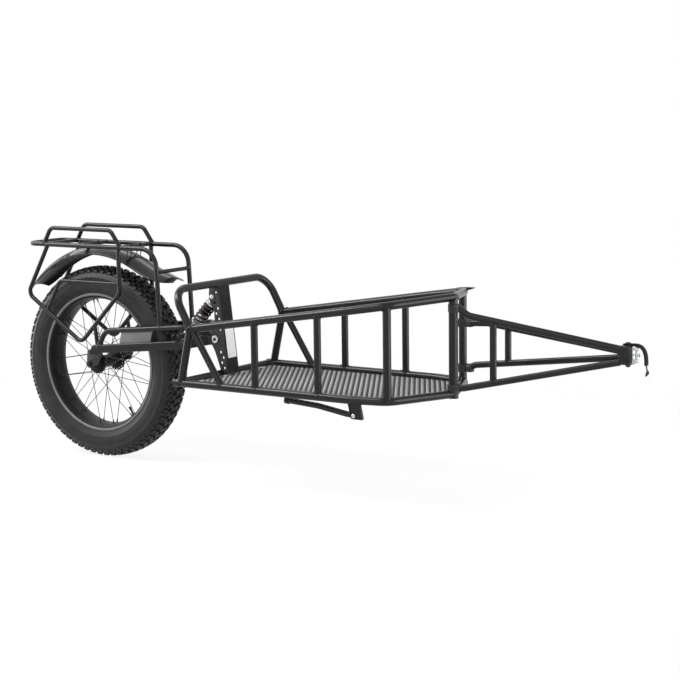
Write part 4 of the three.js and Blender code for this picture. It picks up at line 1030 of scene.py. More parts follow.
class TRAILER_OT_strap(TrailerOperator):
    """Safety strap over the hitch, with its clip and ring"""

    bl_idname = "trailer.strap"
    bl_label = "Safety strap"
    body = "tongue"

    def make(self):
        line = smooth_line([(x, JOINT.y, z) for x, z in STRAP_POINTS], 5)
        bulk = [0.55 + 0.45 * min(1.0, 4 * k / (len(line) - 1)) for k in range(len(line))]
        section = rounded_section(STRAP_WIDTH * 1.12, STRAP_BULK, 0.0022)
        shape = Shape().sweep(line, section, side=LEFT, scale=bulk)
        strap = self.put("strap", shape, "safety_strap", slot="strap_webbing")
        eye = line[-1] + Vector((0.0025, 0, -0.0215))
        clip = self.put("clip", self.clip(line[-1], eye), "strap_clip", slot="clip_plastic")
        centre = eye + Vector((0.0035, 0.0008, -HOOK_RADIUS - RING_RADIUS + 0.0018))
        loop = [centre + RING_RADIUS * Vector((0.45 * b, b, a)) for a, b in circle(1.0, 36)]
        shape = Shape().sweep(loop, circle(RING_WIRE, 10), side=FORWARD, closed=True)
        ring = self.put("clip_ring", shape, "strap_ring", slot="fastener_steel")
        length = sum((b - a).length for a, b in zip(line, line[1:]))

    def clip(self, end, eye):
        """The lanyard's two wires and the snap hook that they carry."""
        clip = Shape()
        for side in (-1, 1):
            run = [
                end + Vector((0, side * 0.0018, 0.004)), end + Vector((0.0006, side * 0.0024, -0.006)),
                eye + Vector((-0.0004, side * 0.0018, 0.0085)), eye + Vector((0, 0, 0.0052)),
            ]
            clip.sweep(smooth_line(run, 5), circle(LANYARD_WIRE, 8), side=FORWARD)
        hook = [eye + HOOK_RADIUS * Vector((0.25 * a, b, 1.12 * a)) for a, b in circle(1.0, 32)]
        clip.sweep(hook, circle(HOOK_WIRE, 12), side=FORWARD, closed=True)
        return clip.bar(eye + Vector((0.001, 0, 0.0042)), eye + Vector((0.0004, 0, 0.0092)), 0.0026, 16)


class TRAILER_OT_basket(TrailerOperator):
    """The basket's bent rails, hoop, posts and braces, with their welds"""

    bl_idname = "trailer.basket"
    bl_label = "Basket tubes"

    def make(self):
        self.rail = sizes().rail_radius
        self.put("lower_rail_tube", self.tube(lower_line()), "lower_rail")
        self.put("upper_rail_tube", self.upper(), "upper_rail")
        self.put("rear_hoop_tube", self.hoop(), "rear_hoop")
        for side, sign in SIDES.items():
            for place, offset in POST_PLACES.items():
                at = plan(offset, sign * HALF_WIDTH)
                shape = self.post(at, upper_height(offset), sizes().post_radius, FORWARD)
                self.put(f"post_{place}_{side}", shape, f"side_post_{place}_{side}")
            at = corner_middle()
            at.y *= sign
            shape = self.post(at, upper_height(at.x - CROSSBAR_X), self.rail, Vector((0.62, -sign * 0.78, 0)))
            self.put(f"corner_post_{side}", shape, f"shoulder_post_{side}")
            self.put(f"brace_{side}", self.brace(sign), f"rear_brace_{side}")
        self.put("nose_post_tube", self.nose(), "nose_post")
        self.put("floor_tabs", self.tabs(), slot="mesh_steel")
        self.put("rail_ends", self.ends())
        self.put("rail_screws", self.screws(), slot="fastener_steel", look="rim_lip")

    def tube(self, path):
        return Shape().tube(path, self.rail, 24)

    def upper(self):
        shape = self.tube(upper_line())
        for sign in SIDES.values():
            foot = plan(HOOP_KNEE, sign * HALF_WIDTH, UPPER_REAR_Z)
            ahead = plan(SHOULDER, sign * HALF_WIDTH, UPPER_SHOULDER_Z) - foot
            shape.weld(foot, ahead, self.rail, (0.35, 0, 0.94), self.rail)
        return shape

    def hoop(self):
        shape = self.tube(hoop_line())
        for sign in SIDES.values():
            foot = plan(HOOP_FOOT, sign * (HALF_WIDTH - 0.004), LOWER_Z)
            rise = plan(HOOP_KNEE, sign * HALF_WIDTH, UPPER_REAR_Z) - foot
            shape.weld(foot, rise, self.rail, (1, sign * 0.5, 0), self.rail)
        return shape

    def post(self, at, top, radius, rail_axis):
        low = Vector((at.x, at.y, LOWER_Z))
        high = Vector((at.x, at.y, top))
        slope = rail_axis.normalized() + UP * UPPER_SLOPE
        shape = Shape().tube([low, high], radius, 24).weld(low, UP, radius, rail_axis, self.rail)
        return shape.weld(high, -UP, radius, slope, self.rail)

    def brace(self, sign):
        top = plan(BRACE_TOP, sign * HALF_WIDTH, upper_height(BRACE_TOP))
        foot = plan(BRACE_FOOT, sign * HALF_WIDTH, LOWER_Z)
        shape = Shape().tube([foot, top], BRACE_RADIUS, 24)
        shape.weld(foot, top - foot, BRACE_RADIUS, FORWARD, self.rail)
        return shape.weld(top, foot - top, BRACE_RADIUS, (0.98, 0, UPPER_SLOPE), self.rail)

    def nose(self):
        radius = sizes().nose_radius
        x = nose_middle().x
        low = Vector((x, 0, LOWER_Z - self.rail - SEAT))
        high = Vector((x, 0, UPPER_NOSE_Z))
        shape = Shape().tube([low, high], radius, 28)
        shape.bar(low - UP * 0.0006, low + UP * 0.003, radius + 0.0008, 28, 0.0008)
        shape.weld(high, -UP, radius, LEFT, self.rail)
        foot = Vector((x, 0, LOWER_Z))
        for sign in SIDES.values():
            shape.weld(foot, plan(SHOULDER, sign * SHOULDER_Y, LOWER_Z) - foot, self.rail, UP, radius)
        return shape

    def ends(self):
        """The side rails' stubs behind the crossbar, and the left upper rail's pointed front end."""
        at = corner_middle()
        root = Vector((at.x - 0.02, at.y + 0.003, upper_height(at.x - CROSSBAR_X) + 0.003))
        profile = [(0, 0), (0.0062, 0), (0.0062, 0.022), (0.0035, 0.045), (0.001, 0.06), (0, 0.0605)]
        shape = Shape().turned(profile, root, (1, -0.05, UPPER_SLOPE), 20)
        for sign in SIDES.values():
            root, tip = (plan(offset, sign * HALF_WIDTH, LOWER_Z) for offset in (0.008, -0.0165))
            shape.bar(root, tip, self.rail, 28, 0.003)
        return shape

    def screws(self):
        """Small dome screws on top of the lower rail, behind the posts, and in its rear ends."""
        shape = Shape()
        dome = [(0, 0), (0.0034, 0), (0.0034, 0.0005), (0.0029, 0.0015), (0.0016, 0.0021), (0, 0.0023)]
        for sign in SIDES.values():
            for offset in POST_PLACES.values():
                at = plan(offset - 0.0165, sign * (HALF_WIDTH + 0.001), LOWER_Z + self.rail - 0.0004)
                shape.turned(dome, at, UP, 16)
            for offset in (-0.0105, 0.002):
                at = plan(offset, sign * (HALF_WIDTH + 0.0068), LOWER_Z + self.rail * 0.72)
                shape.turned(dome, at, (0, 0.85 * sign, 0.95), 16)
        return shape

    def tabs(self):
        """Small tabs that hold the floor to the rear crossbar."""
        shape = Shape()
        for y in TAB_PLACES:
            low = plan(self.rail - 0.002, y - TAB_HALF, LOWER_Z - 0.006)
            shape.block(low, plan(self.rail + 0.009, y + TAB_HALF, LOWER_Z - 0.0035), 0.0006)
        return shape


class TRAILER_OT_floor_mesh(TrailerOperator):
    """Expanded metal floor"""

    bl_idname = "trailer.floor_mesh"
    bl_label = "Floor mesh"

    def make(self):
        pitch_x = sizes().mesh_pitch_x
        pitch_y = sizes().mesh_pitch_y
        low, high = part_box("floor_mesh")
        rows = math.ceil(HALF_WIDTH / pitch_y)
        places = []
        for column in range(math.ceil((high.x - low.x) / (pitch_x / 2)) + 1):
            x = low.x + column * pitch_x / 2
            for row in range(-rows, rows + 1):
                y = (row + (column % 2) / 2) * pitch_y
                if abs(y) < self.half_width_at(x, high.x + 0.004):
                    places.append((x, y, (low.z + high.z) / 2))
        left = FORWARD * (-pitch_x / 2)
        top = LEFT * (pitch_y / 2)
        # The rising strands wear painted shade, a darker copy of the floor's steel; the falling strands keep
        # its full colour
        self.strands("floor_strands_rising", left, top, 0.65, 1.0, places, "mesh_shaded")
        self.strands("floor_strands_falling", top, -left, -0.15, 2.0, places, "mesh_steel")

    def half_width_at(self, x, nose_x):
        """Half the floor's width at a place along it, up to the rails' inner sides."""
        inner = HALF_WIDTH - 0.012
        taper_x = CROSSBAR_X + TAPER
        shoulder_x = CROSSBAR_X + SHOULDER
        if x < taper_x:
            return inner
        if x < shoulder_x:
            return inner - (x - taper_x) / (shoulder_x - taper_x) * (HALF_WIDTH - SHOULDER_Y)
        share = (x - shoulder_x) / (nose_x - shoulder_x)
        return (inner - HALF_WIDTH + SHOULDER_Y) * (1 - share) - 0.004

    def strands(self, name, start, end, lean, broad, places, look):
        """One of the two sets of strands round the openings. They lean, as drawn sheet does."""
        width = sizes().strand_width
        sheet = 0.0016
        along = (end - start).normalized()
        tilted = Vector((-along.y, along.x, 0)) * math.cos(lean) + UP * math.sin(lean)
        wide = tilted * (broad * width / 2)
        thick = along.cross(tilted) * (sheet / 2)
        grown = along * (width * 0.25)
        corners = [-wide - thick, wide - thick, wide + thick, thick - wide]
        rings = [[p + corner for corner in corners] for p in (start - grown, end + grown)]
        mesh = copies_on_points(name, Shape().rings(rings), places, finish(look))
        self.put(name, mesh, "floor_mesh", slot="mesh_steel", look=look)


# The mast's rear edge as shares of its height and depth, and the heights of its lightening holes

MAST_EDGE = [
    (1.0, 1.0), (0.9, 1.16), (0.82, 1.16), (0.77, 1.0), (0.7, 0.79), (0.58, 0.87), (0.51, 1.16), (0.45, 1.44),
    (0.38, 1.52), (0.32, 1.5), (0.25, 1.24), (0.12, 0.98), (0.0, 0.76),
]
MAST_HOLES = [0.06, 0.12, 0.18, 0.24, 0.5, 0.56, 0.62, 0.68, 0.74, 0.8, 0.92]


def up_mast(share, back=0.0):
    """A place on the mast's side: a share of its height, and how far behind its front."""
    return (MAST_FOOT_X - MAST_LEAN * share * MAST_HEIGHT - back, MAST_FOOT_Z + share * MAST_HEIGHT)


class TRAILER_OT_mast(TrailerOperator):
    """The folded mast with its lightening holes, bolts and blank label"""

    bl_idname = "trailer.mast"
    bl_label = "Mast"

    def make(self):
        outline = [up_mast(0), up_mast(1), *(up_mast(up, back * MAST_DEPTH) for up, back in MAST_EDGE)]
        holes = [(PIVOT.x, PIVOT.z, PIVOT_BORE), (SHOCK_TOP.x, SHOCK_TOP.z, BOLT_BORE)]
        for i, up in enumerate(MAST_HOLES):
            holes.append((*up_mast(up, MAST_DEPTH * (0.36 + 0.24 * (i % 2))), 0.0038))
        shape = Shape()
        for sign in SIDES.values():
            shape.plate(outline, sign * (MAST_HALF - MAST_SHEET / 2), MAST_SHEET, holes)
        self.put("mast_sheet", self.web(shape), "mast_channel", slot="mast_paint")
        self.put("mast_bolts", self.bolts(), "pivot_bolt", "shock_top_bolt", slot="fastener_steel")
        # Painted shade: thin dark hexagons where the bolt heads' sockets lie in shadow
        self.put("mast_sockets", self.sockets(), slot="mast_paint", look="clip_plastic")
        face = self.face(0.001, 0.0, 1.0, MAST_HALF * 0.86, 0.0008)
        self.put("mast_face", face, slot="mast_paint", look="rim_aluminium")
        label = self.face(0.0019, 0.17, 0.512, MAST_HALF * 0.76, 0.0006)
        self.put("blank_label", label, slot="mast_paint", look="bare_label")

    def web(self, shape):
        """The channel's front with its rounded folds."""
        turns = [math.pi / 2 * k / 4 for k in range(5)]
        fold = [(MAST_SHEET * (math.cos(t) - 1), MAST_HALF - MAST_SHEET * (1 - math.sin(t))) for t in turns]
        outer = sorted([(d, -y) for d, y in reversed(fold)] + fold, key=lambda p: p[1])
        inner = [(-MAST_SHEET, MAST_HALF - MAST_SHEET * 0.4), (-MAST_SHEET, MAST_SHEET * 0.4 - MAST_HALF)]
        return shape.rings([[(x + d, y, z) for d, y in outer + inner] for x, z in (up_mast(0), up_mast(1))])

    def face(self, proud, low, high, half, thick):
        """A thin plate that lies on the front of the mast between two shares of its height."""
        x = up_mast((low + high) / 2)[0] + proud - thick / 2
        start = Vector((x - thick / 2, -half, up_mast(low)[1] + 0.001))
        end = Vector((x + thick / 2, half, up_mast(high)[1] - 0.001))
        lean = Matrix.Rotation(-math.atan(MAST_LEAN), 4, "Y")
        return Shape().block(start, end, thick * 0.3, turn=lean, segments=1)

    def sockets(self):
        """Thin dark hexagons of painted shade, standing for the sockets inside the pivot bolt's heads."""
        shape = Shape()
        for sign in SIDES.values():
            start = PIVOT + LEFT * (sign * (MAST_HALF + SEAT + 0.0027))
            profile = [(0, 0), (0.005, 0), (0.005, 0.0004), (0.0042, 0.0004), (0, 0.0004)]
            shape.turned(profile, start, LEFT * sign, 6)
        return shape

    def bolts(self):
        shape = Shape()
        head = [
            (0, 0), (0.0113, 0), (0.0115, 0.0006), (0.0108, 0.0032), (0.0078, 0.0042), (0.0057, 0.0042),
            (0.0052, 0.0026), (0, 0.0026),
        ]
        for sign in SIDES.values():
            out = LEFT * sign
            face = out * (MAST_HALF + SEAT)
            shape.turned(head, PIVOT + face, out, 40)
            shape.hexagon(SHOCK_TOP + face + out * 0.0008, out, 0.0115, 0.003)
            shape.washer(SHOCK_TOP + face, out, 0.0068, 0.002, 0.0009)
        reach = LEFT * MAST_HALF
        shape.bar(PIVOT - reach, PIVOT + reach, PIVOT_PIN)
        return shape.bar(SHOCK_TOP - reach, SHOCK_TOP + reach, BOLT)


def back(setback, rise, sign):
    """A place on one side of the swingarm or rack, counted back from the pivot and up from the axle."""
    return Vector((PIVOT.x - setback, sign * ARM_Y, AXLE.z + rise))


def rising(x, start, low, high):
    """The height of a bar that rises from a place along the swingarm to its bend."""
    return AXLE.z + low + (high - low) / (PIVOT.x - ARM_BEND - start) * (x - start)


def arm_height(x):
    return rising(x, AXLE.x, ARM_REAR_RISE, ARM_FRONT_RISE)


def loop_height(x):
    return rising(x, AXLE.x + LOOP_CORNER, LOOP_CORNER_RISE, LOOP_FRONT_RISE)


class TRAILER_OT_swingarm(TrailerOperator):
    """The swingarm's two sides, pivot sleeve, cross tube and axle"""

    bl_idname = "trailer.swingarm"
    bl_label = "Swingarm"
    body = "swingarm"

    def make(self):
        for side, sign in SIDES.items():
            self.put(f"arm_{side}", self.arm(sign), f"swingarm_{side}")
            self.put(f"arm_plate_{side}", self.gusset(sign), slot="mast_paint", look="plate_grey")
            self.put(f"dropout_{side}", self.dropout(sign), slot="mast_paint")
        half = MAST_HALF - MAST_SHEET - SEAT
        sleeve = Shape().sleeve(PIVOT, 0.0145, PIVOT_BORE, half, [(0.0008, 0), (0, 0.0008)])
        self.put("sleeve", sleeve, "pivot_sleeve")
        self.put("cross_tube", self.cross(), "swingarm_cross_tube")
        self.put("arm_bolts", self.bolts(), "shock_lower_bolt", slot="fastener_steel")
        self.put("axle_rod", self.rod(), "axle", slot="fastener_steel", look="clip_plastic")

    def arm(self, sign):
        y = sign * ARM_Y
        neck_y = sign * ARM_NECK_Y
        bend_x = PIVOT.x - ARM_BEND
        neck_x = PIVOT.x - ARM_NECK
        neck_z = PIVOT.z - 0.006
        lower = [
            (AXLE.x - 0.001, y, arm_height(AXLE.x)), (bend_x, y, arm_height(bend_x)),
            (neck_x, neck_y, neck_z), (PIVOT.x - 0.006, neck_y, neck_z),
        ]
        section = rounded_section(ARM_WIDE, ARM_TALL, 0.005)
        shape = Shape().sweep(bent(lower, [0.03, ARM_NECK_Y]), section, side=LEFT)
        shape.bm.verts.ensure_lookup_table()
        for vert in shape.bm.verts[:20]:
            vert.co.x += 0.7 * (vert.co.z - arm_height(AXLE.x) + ARM_TALL / 2)
        root_x = AXLE.x + LOOP_ROOT
        upper = [
            (root_x, y, arm_height(root_x)), (AXLE.x + LOOP_CORNER, y, AXLE.z + LOOP_CORNER_RISE),
            (bend_x, y, AXLE.z + LOOP_FRONT_RISE), (neck_x, neck_y, PIVOT.z + 0.016),
            (PIVOT.x - 0.004, neck_y, PIVOT.z + 0.008),
        ]
        shape.tube(bent(upper, [0.045, 0.03, ARM_NECK_Y]), LOOP_RADIUS)
        shape.tube([back(0.405, 0.058, sign), back(0.413, 0.118, sign)], 0.006, 16)
        rim_z = arm_height(root_x) + ARM_TALL / 2
        rise = Vector((0.45, 0, 0.9))
        foot = Vector((root_x + 0.006, y, rim_z)) - rise * 0.01
        host = (root_x, y, rim_z - 0.012)
        return shape.weld(foot, rise, LOOP_RADIUS, (1, 0, 0.07), 0.012, ARM_BEAD, host)

    def gusset(self, sign):
        """The plate between the arm and its loop, with pressed edges."""
        rear = AXLE.x + 0.126
        front = AXLE.x + 0.233
        low = arm_height(rear) + 0.01
        outline = [
            (rear - 0.01, low), (front, low + 0.01), (front + 0.011, loop_height(front) - 0.005),
            (rear, loop_height(rear) - 0.005),
        ]
        return Shape().plate(outline, sign * ARM_Y, 0.005, edge=0.0008)

    def dropout(self, sign):
        top = arm_height(AXLE.x) - 0.004
        round_end = arc(AXLE.x, AXLE.z, 0.0125, -35, -16.5, 11)
        outline = [
            (AXLE.x - 0.008, top), *round_end[::-1], (AXLE.x + 0.03, AXLE.z - 0.002), (AXLE.x + 0.05, top),
        ]
        return Shape().plate(outline, sign * ARM_Y, 0.006, [(AXLE.x, AXLE.z, 0.0063)], edge=0.0008)

    def cross(self):
        eye_x = SHOCK_EYE.x
        centre = Vector((eye_x, 0, SHOCK_EYE.z - CROSS_DROP))
        reach = LEFT * (ARM_Y - 0.0078)
        shape = Shape().tube([centre - reach, centre + reach], CROSS_RADIUS, 24)
        ear = arc(eye_x, SHOCK_EYE.z, EYE_RADIUS, 0, 22.5, 9)
        outline = [(eye_x - EYE_RADIUS, centre.z), (eye_x + EYE_RADIUS, centre.z), *ear]
        for sign in SIDES.values():
            at = centre + reach * sign
            out = LEFT * sign
            shape.weld(at - out * 0.003, out, CROSS_RADIUS, FORWARD, 0.0105, host=at + out * 0.01)
            shape.plate(outline, sign * 0.0145, 0.004, [(eye_x, SHOCK_EYE.z, BOLT_BORE)])
        return shape

    def rod(self):
        """The axle with its black nuts."""
        shape = Shape()
        reach = LEFT * (ARM_Y + 0.003)
        for sign in SIDES.values():
            out = LEFT * sign
            outer = AXLE + reach * sign + out * SEAT
            shape.washer(outer, out, 0.0085, 0.005, 0.0012)
            shape.hexagon(outer + out * 0.0012, out, 0.0148, 0.0064)
            shape.bar(outer, outer + out * 0.0093, 0.0044)
        return shape.bar(AXLE - reach, AXLE + reach, 0.006)

    def bolts(self):
        shape = Shape()
        reach = LEFT * 0.0165
        for sign in SIDES.values():
            shape.hexagon(SHOCK_EYE + (reach + LEFT * SEAT) * sign, LEFT * sign, 0.0115, 0.0038)
        return shape.bar(SHOCK_EYE - reach, SHOCK_EYE + reach, BOLT)


class TRAILER_OT_rack(TrailerOperator):
    """The rack over the wheel, its top hoops and the pannier frames"""

    bl_idname = "trailer.rack"
    bl_label = "Rack"
    body = "swingarm"

    def make(self):
        self.put("rack_rail", self.frame(), "rack_frame")
        for place, setback in RACK_BARS.items():
            self.put(f"rack_bar_{place}", self.crossbar(setback, RACK_RISE), f"rack_crossbar_{place}")
        share = (RACK_RISE - LEG_BAR_RISE) / (RACK_RISE - LOOP_FRONT_RISE - LOOP_RADIUS)
        leg_bar = self.crossbar(RACK_BEND - share * (RACK_BEND - RACK_FOOT), LEG_BAR_RISE)
        self.put("rack_leg_bar", leg_bar, "rack_leg_crossbar")
        for side, sign in SIDES.items():
            self.put(f"rack_top_{side}", self.hoop(sign), f"rack_hoop_{side}")
            self.put(f"pannier_{side}", self.pannier(sign), f"pannier_frame_{side}")

    def frame(self):
        foot_z = loop_height(PIVOT.x - RACK_FOOT) - AXLE.z
        side = [(RACK_FOOT, foot_z), (RACK_BEND, RACK_RISE), (RACK_REAR, RACK_RISE)]
        corners = both_ways([back(setback, rise, -1) for setback, rise in side])
        shape = Shape().tube(bent(corners, [0.055, 0.028, 0.028, 0.055]), RACK_RADIUS)
        for sign in SIDES.values():
            foot = back(RACK_FOOT, foot_z, sign)
            shape.weld(foot, (-0.05, 0, 1), RACK_RADIUS, (1, 0, 0.08), LOOP_RADIUS, LEG_BEAD)
        return shape

    def crossbar(self, setback, rise):
        at = back(setback, rise, 0)
        reach = LEFT * ARM_Y
        shape = Shape().tube([at - reach, at + reach], BAR_RADIUS, 18)
        for sign in SIDES.values():
            shape.weld(at + reach * sign, LEFT * -sign, BAR_RADIUS, FORWARD, RACK_RADIUS, RACK_BEAD)
        return shape

    def hoop(self, sign):
        corners = [
            back(RACK_BARS["rear"], RACK_RISE, sign), back(HOOP_REAR_TOP, HOOP_RISE, sign),
            back(HOOP_FRONT_TOP, HOOP_RISE, sign), back(HOOP_FRONT_FOOT, RACK_RISE, sign),
        ]
        shape = Shape().tube(bent(corners, RACK_CORNER), PANNIER_RADIUS)
        return self.landed(shape, corners, PANNIER_RADIUS)

    def landed(self, shape, line, radius):
        """Welds both ends of a line to the rack's rail."""
        for foot, towards in ((line[0], line[1]), (line[-1], line[-2])):
            shape.weld(foot, towards - foot, radius, FORWARD, RACK_RADIUS, RACK_BEAD)
        return shape

    def pannier(self, sign):
        places = [(0.59, RACK_RISE), (0.676, 0.2), (0.468, 0.062), (0.314, 0.217), (0.314, RACK_RISE)]
        outer = bent([back(*place, sign) for place in places], RACK_CORNER)
        foot_rise = 0.2 + (0.676 - 0.601) / (0.676 - 0.468) * (0.062 - 0.2)
        places = [(0.601, foot_rise), (0.547, 0.245), (0.314, 0.245)]
        inner = bent([back(*place, sign) for place in places], RACK_CORNER)
        shape = Shape().tube(outer, PANNIER_RADIUS).tube(inner, INNER_RADIUS, 16)
        for foot, towards, host in ((inner[0], inner[1], (1, 0, -0.66)), (inner[-1], inner[-2], UP)):
            shape.weld(foot, towards - foot, INNER_RADIUS, host, PANNIER_RADIUS, RACK_BEAD)
        return self.landed(shape, outer, PANNIER_RADIUS)


class TRAILER_OT_fender(TrailerOperator):
    """The crowned fender with its rolled edges and stays"""

    bl_idname = "trailer.fender"
    bl_label = "Fender"
    body = "swingarm"

    def make(self):
        middle_x = PIVOT.x - RACK_BARS["middle"]
        self.radius = math.hypot(middle_x - AXLE.x, RACK_RISE) - BAR_RADIUS - 2 * SEAT
        self.put("fender_sheet", self.sheet(), "fender", slot="fender_plastic")
        self.put("fender_edges", self.edges(), slot="fender_plastic")
        self.put("fender_stays", self.stays())

    def sheet(self):
        steps = 14
        shares = [2 * k / steps - 1 for k in range(steps + 1)]
        top = [(share * FENDER_HALF, -FENDER_CROWN * abs(share) ** 2.2) for share in shares]
        thinner = 1 - FENDER_SHEET / FENDER_HALF
        section = top + [(y * thinner, drop - FENDER_SHEET) for y, drop in reversed(top)]
        places = self.line()
        rings = []
        for i, (at, out) in enumerate(places):
            front = max(0.0, 1 - i / 5) ** 2
            rear = max(0.0, 1 - (len(places) - 1 - i) / 4) ** 2
            width = 1 - 0.5 * front - 0.3 * rear
            rings.append([at + out * (drop * width) + LEFT * (y * width) for y, drop in section])
        shape = Shape().rings(rings, caps=False)
        shape.bm.verts.ensure_lookup_table()
        count = len(section)
        for row in (shape.bm.verts[:count], shape.bm.verts[-count:]):
            for k in range(steps):
                shape.bm.faces.new((row[k], row[k + 1], row[count - 2 - k], row[count - 1 - k]))
        return shape.outward()

    def line(self):
        """The crown's places and outward directions, from the flared front end to the rear."""
        steps = 10
        at = AXLE + ray(FENDER_FRONT) * self.radius
        places = []
        for k in range(1, steps + 1):
            heading = FENDER_FRONT + FLARE_TURN * k / steps
            at = at + ray(heading - math.pi / 2) * (FLARE_LENGTH / steps)
            places.insert(0, (at, ray(heading)))
        for k in range(41):
            out = ray(FENDER_FRONT + (FENDER_REAR - FENDER_FRONT) * k / 40)
            places.append((AXLE + out * self.radius, out))
        return places

    def edges(self):
        """Rolled edges along both sides."""
        shape = Shape()
        for sign in SIDES.values():
            side = LEFT * (sign * (FENDER_HALF - ROLL_INSET))
            line = [at - out * (FENDER_CROWN + ROLL_INSET) + side for at, out in self.line()[5:-4]]
            shape.sweep(line, circle(ROLL_RADIUS, 12), side=LEFT)
        return shape

    def stays(self):
        """Short wire brackets that hold the fender to the rack's crossbars."""
        shape = Shape()
        rise = AXLE.z + RACK_RISE
        around = BAR_RADIUS + 0.002
        for setback, reach in ((RACK_BARS["middle"], 0.03), (RACK_BARS["front"], 0.022)):
            x = PIVOT.x - setback
            ahead = ray(math.atan2(RACK_RISE, x - AXLE.x)).x * (self.radius + 0.0002) + 0.01
            foot_z = AXLE.z + math.sqrt(self.radius**2 - ahead**2) - 0.003
            for sign in SIDES.values():
                y = sign * reach
                line = [
                    (AXLE.x + ahead, y, foot_z), (x + around, y, rise), (x, y, rise + BAR_RADIUS + 0.0016),
                    (x - around, y, rise), (x - 0.012, y, foot_z),
                ]
                shape.sweep(smooth_line(line, 5), circle(STAY_WIRE, 8), side=LEFT)
        return shape


# The tyre's casing from bead to crown, with two moulded ribs on the side wall, as radius and place across

CASING = [
    (0.2033, 0.0345), (0.2055, 0.0368), (0.209, 0.0386), (0.2115, 0.0403), (0.213, 0.0403), (0.2145, 0.0412),
    (0.22, 0.0438), (0.2245, 0.0454), (0.2255, 0.0461), (0.2265, 0.0459), (0.231, 0.0471), (0.238, 0.0477),
    (0.247, 0.0478), (0.2555, 0.0469), (0.257, 0.0474), (0.2585, 0.0465), (0.264, 0.0444), (0.2695, 0.0411),
    (0.2733, 0.0366), (0.2765, 0.03), (0.2787, 0.022), (0.28, 0.012), (0.2805, 0.004),
]

# One pitch of the tread. Each row is (place across, crown radius, tilt, phase, length, width)

KNOB_ROWS = [
    (0.0068, 0.2878, 0.05, 0.25, 0.0145, 0.0096), (0.0196, 0.2866, 0.2, 0.72, 0.0145, 0.0096),
    (0.0316, 0.2826, 0.5, 0.0, 0.0108, 0.0098), (0.0405, 0.2752, 0.9, 0.5, 0.0106, 0.0085),
]
KNOB_CORNERS = [(-1, -0.8), (-0.8, -1), (0.8, -1), (1, -0.8), (1, 0.8), (0.8, 1), (-0.8, 1), (-1, 0.8)]
KNOB_LAYERS = ((0.0085, 1.16), (0.0012, 1.04), (0.0, 0.9))


